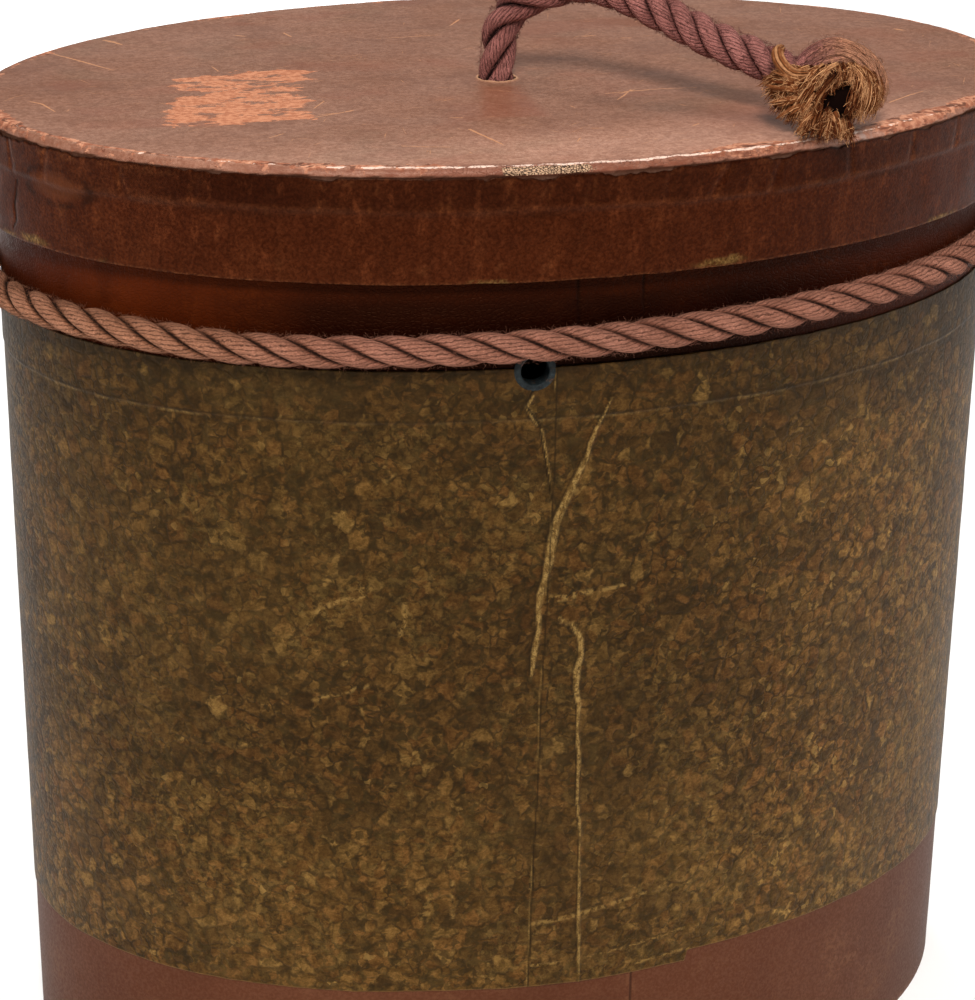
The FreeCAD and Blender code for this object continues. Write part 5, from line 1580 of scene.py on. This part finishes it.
    lock(left_c, 34, 1.6, 2.2, shade=0.56)
    lock(left_d, 34, 1.4, 1.9, shade=0.40, deep=0.15)
    # shorter tufts laid over them, paler
    lock([(-8.0, 5.6, 7.0), (-11.5, 4.0, 8.5), (-14.8, 1.0, 8.0), (-16.6, -2.2, 7.0)], 26, 0.9, 1.5, shade=0.80)
    lock([(-3.5, 6.2, 7.5), (-7.0, 3.4, 9.5), (-9.2, -0.5, 9.5), (-12.4, -4.0, 9.0)], 26, 0.9, 1.5, shade=0.74)
    lock([(1.0, 6.6, 7.5), (-1.8, 4.6, 9.8), (-4.6, 1.2, 10.0), (-6.6, -2.8, 9.6)], 26, 0.8, 1.4, shade=0.70)
    lock([(-6.5, -3.0, 9.0), (-8.0, -6.0, 9.5), (-10.0, -9.5, 8.5), (-10.5, -13.5, 7.5)], 24, 0.8, 1.6, shade=0.66)
    # right fall, curving down past the hollow
    right_a = [(4.5, 6.4, 5.5), (7.0, 3.0, 8.0), (6.6, -3.0, 8.5), (5.6, -8.5, 7.5), (4.8, -13.8, 6.5)]
    right_b = [(7.5, 6.6, 4.0), (11.4, 3.0, 6.0), (12.6, -2.5, 6.0), (11.6, -7.0, 5.0), (9.2, -11.6, 4.5)]
    right_c = [(8.5, 7.4, 1.0), (13.5, 3.5, 2.0), (15.0, -1.0, 2.0), (14.2, -5.0, 1.5), (12.4, -8.8, 1.5)]
    for f in (0.0, 0.33, 0.66):
        lock(mixp(right_a, right_b, f + q.normal(0, .04)), 36, 1.4, 1.9, shade=0.60)
    for f in (0.0, 0.5, 1.0):
        lock(mixp(right_b, right_c, f), 30, 1.4, 1.7, shade=0.52)
    lock([(5.5, 5.6, 7.5), (8.2, 2.0, 9.0), (8.4, -2.5, 9.0), (7.8, -6.6, 8.2)], 24, 0.8, 1.2, shade=0.80)
    # below, lying on the lid's edge
    for x0, x1, x2, sh_ in ((-8.5, -10.0, -12.0, 0.52), (-6.4, -7.6, -8.8, 0.62), (-4.4, -5.0, -6.4, 0.48), (-2.6, -3.0, -3.4, 0.70), (-0.8, -0.4, -1.2, 0.50), (1.0, 1.6, 1.4, 0.62),
                            (2.8, 2.6, 3.4, 0.72), (4.0, 4.3, 4.0, 0.66)):
        lock([(x0, -9.6, 3.5), (x0 + q.normal(0, 0.5), -12.0, 8.5), (x1, -16.0, 12.6), (x2, -19.8 + 0.14 * abs(x2) + q.normal(0, 0.7), 16.6)], 22, 1.0, 1.9, shade=sh_, deep=0.10)
    # stray fibres
    for _ in range(46):
        a = q.uniform(math.pi * 0.75, math.pi * 1.65)
        e = 14 + q.uniform(2, 8)
        lock([(math.cos(a) * 8.5 - 2, math.sin(a) * 7.5 - 2, 7.0), (math.cos(a) * e * 0.6 - 2, math.sin(a) * e * 0.45 - 2, 9.0),
              (math.cos(a) * e - 2, math.sin(a) * e * 0.75 - 2 + q.normal(0, 1), q.uniform(3, 9))], 2, 0.5, 1.6, hair=(0.10, 0.16), shade=0.75)
    # short matted fluff over the locks
    nl = len(hairs)
    for _ in range(3400):
        w = int(q.integers(0, nl)); y = hairs[w]; kk = int(q.integers(2, 14))
        tg = y[min(kk + 1, 14)] - y[kk - 1]; tg = tg / max(np.linalg.norm(tg), 1e-6)
        e = tg * q.uniform(0.1, 1.0) + q.normal(0, 0.75, 3) - F * 0.25
        e /= np.linalg.norm(e)
        ln = q.uniform(0.7, 2.4)
        f0 = y[kk] + q.normal(0, 0.12, 3)
        z = resample(np.stack([f0, f0 + e * ln * 0.5 + q.normal(0, 0.22, 3), f0 + e * ln + q.normal(0, 0.4, 3)]), 15)
        z[:, 2] = np.maximum(z[:, 2], lid_floor(z[:, 0], z[:, 1]) + 0.3)
        hairs.append(z); hr.append(q.uniform(0.055, 0.10)); hs.append(hs[w] + q.normal(0.08, 0.20)); hd.append(-0.25 - 0.05 * kk)
    mesh = bundle_mesh("rope_end_fibres", hairs, [1.0] * len(hairs), 5, tips=lambda u, i: (hr[i] * (1.0 - 0.65 * u ** 2)) if np.isscalar(hr[i]) else hr[i])
    sh_all, rt_all = [], []
    for i, y in enumerate(hairs):
        u = np.linspace(0, 1, len(y))
        sh_all += [np.full(len(y) * 5, hs[i]), np.full(2, hs[i])]
        rt_all += [np.repeat(u - hd[i], 5), np.array([0.0, 1.0])]
    add_attr(mesh, "shade", clamp01(np.concatenate(sh_all)))
    add_attr(mesh, "root", np.concatenate(rt_all))
    pieces.append(mesh)
    # the imported middle of the knot, behind the loose fibres: a dark lump as painted shade in the hollow
    nu, nv = 40, 26
    uu, vv = np.meshgrid(np.linspace(0, 2 * math.pi, nu, endpoint=False), np.linspace(0.02, math.pi - 0.02, nv), indexing="xy")
    bx, by, bz = np.cos(uu) * np.sin(vv), np.sin(uu) * np.sin(vv), np.cos(vv)
    lump = 1 + 0.10 * fbm(bx * 3, by * 3, bz * 3, 55, 3)
    C = K + R * 1.5 + U * -2.2 - F * 0.5
    Pm = C + (bx * 10.5 * lump)[..., None] * R + (by * 8.6 * lump)[..., None] * U - (bz * 6.0 * lump)[..., None] * F
    Pm = Pm.reshape(-1, 3)
    Pm[:, 2] = np.maximum(Pm[:, 2], 355.9)
    faces = grid_faces(nv, nu, True, False)
    tr = []
    V2 = np.concatenate([Pm, Pm[:nu].mean(0)[None], Pm[-nu:].mean(0)[None]])
    j = np.arange(nu)
    tr.append(np.stack([np.full(nu, len(Pm)), (j + 1) % nu, j], -1))
    tr.append(np.stack([np.full(nu, len(Pm) + 1), (nv - 1) * nu + j, (nv - 1) * nu + (j + 1) % nu], -1))
    cm = mixed_mesh("rope_end_core", V2, faces, np.concatenate(tr), {"shade": np.full(len(V2), 0.02), "root": np.full(len(V2), 0.0)})
    pieces.append(cm)
    # one tan strand that crosses the rope where it turns
    band = smooth_path([at(-15.8, 13.0, -1.0), at(-17.6, 10.6, 4.6), at(-16.8, 6.8, 7.6), at(-13.4, 3.6, 8.6), at(-8.5, 3.6, 8.6)], 40)
    t, n, b = frames(band)
    L = np.linspace(0, 1, len(band))
    yb, rb = [], []
    for j in range(9):
        a = j * 2 * math.pi / 9 + 1.2 * L
        rr = 1.0 * (1 + 0.45 * np.sin(L * math.pi))
        yb.append(band + (n * np.cos(a)[:, None] * 1.1 + b * np.sin(a)[:, None] * 1.1) * rr[:, None]); rb.append(0.55)
    yb.append(band); rb.append(1.3)
    bd = bundle_mesh("rope_end_band", yb, rb, 8, tips=lambda u, i: 0.45 + 0.55 * np.sin(np.pi * np.clip(u * 1.1, 0, 1)) ** 0.5)
    add_attr_safe(bd, "root", 1.0)
    add_attr_safe(bd, "shade", 0.0)
    nb = len(bd.data.vertices)
    per = len(band) * 8 + 2
    bsh = np.concatenate([np.full(per, 0.52 + 0.26 * r3.uniform()) for _ in range(10)])[:nb]
    bd.data.attributes["shade"].data.foreach_set("value", np.resize(bsh, nb).astype(np.float32))
    pieces.append(bd)
    return pieces


def lid_floor(x, y):
    """Height of the lid's top under a point, past its rounded edge too."""
    q = np.sqrt((x / (LA - 0.45)) ** 2 + (y / (LB - 0.45)) ** 2)
    # distance inside the edge, roughly
    d = (1 - q) * 118.0
    z = np.where(d > 2.95, TOP, TOP - 2.95 + np.sqrt(np.clip(2.95 ** 2 - (2.95 - np.clip(d, 0, 2.95)) ** 2, 0, None)))
    return np.where(d < 0, 350.0, z)


def build_stopper():
    """Overhand knot under the lid: one rope laid round itself."""
    k = np.linspace(0, 1, 260)
    a = k * 2 * math.pi
    # trefoil, squashed flat, opened towards the hole
    x = (np.sin(a) + 2 * np.sin(2 * a)) * 2.55
    y = (np.cos(a) - 2 * np.cos(2 * a)) * 2.35
    z = -np.sin(3 * a) * 3.2
    P = np.stack([-8 + x, -10.6 + y, 340.6 + z], -1)
    ob = rope_strands("stopper_knot_laid", P, 4.6, 30.0, seg=26, lobes=10, phase=0.3)
    use(ob, bpy.data.materials["rope_lift"])
    add_attr(ob, "tan", np.full(len(ob.data.vertices), 0.15))
    return ob


# ------------------------------------------------------------------ CAD materials
def mat_board(name, col):
    m = Mat(name)
    o = m.obj()
    n = m.noise(o, 120.0, 5.0, 0.65)
    f = m.noise(m.scaled(o, (1, 1, 0.3)), 900.0, 3.0)
    c = m.colors(m.add(m.mul(n, 0.6), m.mul(f, 0.4)), [(0.3, tuple(v * 0.72 for v in col)), (0.5, col), (0.7, tuple(min(1, v * 1.25) for v in col))])
    fl = m.ramp(m.voronoi(o, 420.0, "F1", "Distance"), 0.06, 0.02)
    c = m.mix(m.mul(fl, 0.6), c, tuple(v * 0.35 for v in col))
    return m.set(Base_Color=c, Roughness=0.85, Normal=m.bump(m.add(n, f), 0.25, 0.0003), Specular_IOR_Level=0.25)


def mat_lining():
    m = Mat("lining_paper")
    o = m.obj()
    n = m.noise(o, 18.0, 5.0, 0.6)
    c = m.colors(n, [(0.3, (0.46, 0.38, 0.25)), (0.5, (0.58, 0.50, 0.36)), (0.72, (0.66, 0.58, 0.44))])
    stain = m.ramp(m.noise(m.scaled(o, (1, 1, 1), (4.0, 2.0, 1.0)), 26.0, 5.0, 0.7), 0.56, 0.72)
    c = m.mix(m.mul(stain, 0.45), c, (0.30, 0.20, 0.10))
    spots = m.ramp(m.voronoi(m.warp(o, 100, 0.01), 90.0, "F1", "Distance"), 0.10, 0.04)
    c = m.mix(m.mul(spots, 0.35), c, (0.28, 0.17, 0.08))
    fib = m.noise(m.scaled(o, (1, 1, 0.4)), 1300.0, 3.0)
    return m.set(Base_Color=c, Roughness=0.80, Normal=m.bump(m.add(fib, m.mul(n, 2.0)), 0.20, 0.0003), Specular_IOR_Level=0.3)


def mat_tape():
    m = Mat("paper_tape")
    o = m.obj()
    n = m.noise(m.scaled(o, (1, 1, 0.2)), 90.0, 4.0)
    c = m.colors(n, [(0.3, (0.34, 0.23, 0.12)), (0.6, (0.46, 0.33, 0.18)), (0.8, (0.52, 0.39, 0.23))])
    fib = m.noise(o, 1400.0, 3.0)
    return m.set(Base_Color=c, Roughness=0.55, Normal=m.bump(m.add(fib, n), 0.25, 0.0003), Specular_IOR_Level=0.4)


def mat_eyelet():
    m = Mat("eyelet_metal")
    o = m.obj()
    n = m.noise(o, 700.0, 4.0, 0.6)
    c = m.colors(n, [(0.3, (0.004, 0.005, 0.0055)), (0.55, (0.010, 0.0135, 0.0145)), (0.75, (0.022, 0.029, 0.031))])
    rust = m.ramp(m.noise(o, 380.0, 4.0, 0.7), 0.58, 0.70)
    c = m.mix(m.mul(rust, 0.5), c, (0.10, 0.045, 0.02))
    return m.set(Base_Color=c, Metallic=0.0, Specular_IOR_Level=0.09, Roughness=m.ramp(n, 0.3, 0.7, 0.46, 0.30), Normal=m.bump(n, 0.15, 0.0001))


# ------------------------------------------------------------------ build
cork = build_cork()
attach(cork, "box"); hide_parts("cork_paper")
base = build_base()
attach(base, "box"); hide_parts("base_band")
neck = build_neck()
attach(neck, "box"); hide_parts("neck_band")
rim = build_rim()
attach(rim, "lid"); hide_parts("lid_rim_cover")
ltop = build_lid_top()
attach(ltop, "lid"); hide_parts("lid_top_cover")
nrope, whip, nfuzz = build_neck_rope()
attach(nfuzz, "box")
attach(nrope, "box"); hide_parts("neck_rope")
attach(whip, "box"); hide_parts("neck_rope_whipping")
lrope, ltail, lpath, llen, lp = build_lift_rope()
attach(lrope, "lid"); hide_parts("lid_rope")
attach(ltail, "lid"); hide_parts("lid_rope_tail")
tuft = build_end_knot()
fray = bpy.data.materials["rope_lift"]
hair_m = mat_fray()
for q in tuft:
    use(q, hair_m if q.name in ("rope_end_fibres", "rope_end_core", "rope_end_band") else fray)
    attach(q, "lid")
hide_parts("lid_rope_end_knot")
stop = build_stopper()
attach(stop, "lid"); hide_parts("lid_stopper_knot")

board_m = mat_board("box_board", (0.42, 0.32, 0.20))
for nme in ("wall_board", "base_board", "lid_top_board", "lid_rim_board"):
    cad(nme, board_m)
lin_m = mat_lining()
for nme in ("wall_lining", "base_lining", "lid_lining_disc", "lid_rim_lining"):
    cad(nme, lin_m)
cad("seam_tape", mat_tape())
eye_m = mat_eyelet()
cad("eyelet", eye_m); cad("eyelet_washer", eye_m)
under = Mat("leathercloth_under")
_o2 = under.obj()
_n2 = under.noise(_o2, 30.0, 5.0, 0.65)
_f2 = under.noise(_o2, 900.0, 3.0)
under.set(Base_Color=under.mix(under.mul(under.ramp(under.noise(_o2, 320.0, 4.0, 0.7), 0.52, 0.66), 0.6),
                               under.colors(_n2, [(0.3, (0.10, 0.036, 0.020)), (0.7, (0.19, 0.075, 0.042))]), (0.34, 0.20, 0.12)),
          Roughness=0.6, Normal=under.bump(_f2, 0.25, 0.0003), Specular_IOR_Level=0.35)
cad("base_cover", under.m)

# ------------------------------------------------------------------ floor and light
fl = Mat("floor")
_fo = fl.obj()
fl.set(Base_Color=fl.colors(fl.noise(_fo, 3.0, 4.0), [(0.3, (0.90, 0.90, 0.895)), (0.7, (0.93, 0.93, 0.925))]), Roughness=0.75)
fv = np.array([(-6000, -6000, 0), (6000, -6000, 0), (6000, 6000, 0), (-6000, 6000, 0)], float)
floor = make_mesh("floor", fv, np.array([[0, 1, 2, 3]]), smooth_shade=False)
use(floor, fl.m)

world = bpy.data.worlds.new("studio")
bpy.context.scene.world = world
world.use_nodes = True
bg = world.node_tree.nodes["Background"]
bg.inputs[0].default_value = (1.0, 0.985, 0.965, 1.0)
bg.inputs[1].default_value = 0.38
bpy.context.scene.view_settings.view_transform = "Standard"
bpy.context.scene.view_settings.look = "None"


def area(name, loc, target, size, power, color=(1, 1, 1), size_y=None):
    d = bpy.data.lights.new(name, "AREA")
    d.energy = power
    d.color = color
    d.shape = "RECTANGLE" if size_y else "SQUARE"
    d.size = size
    if size_y:
        d.size_y = size_y
    o = bpy.data.objects.new(name, d)
    bpy.context.scene.collection.objects.link(o)
    o.location = loc
    o.rotation_euler = (Vector(target) - Vector(loc)).to_track_quat("-Z", "Y").to_euler()
    return o


area("key", (-0.52, -1.60, 1.68), (0, 0, 0.34), 0.42, 58.0, (1.0, 0.975, 0.945))
area("overhead", (0.10, 0.35, 2.0), (0, 0, 0.3), 1.3, 7.5, (1.0, 0.985, 0.965))
area("edge_line", (0.22, 0.42, 1.9), (0, -0.1, 0.35), 0.13, 3.2)
area("far_floor", (-0.5, 2.6, 2.4), (-0.5, 4.6, 0.0), 2.6, 150.0)
area("left_side", (-1.9, -0.35, 0.75), (0, 0, 0.2), 1.1, 6.5, size_y=1.3)
area("right_side", (1.9, -0.55, 0.75), (0, 0, 0.2), 1.1, 12.0, size_y=1.3)
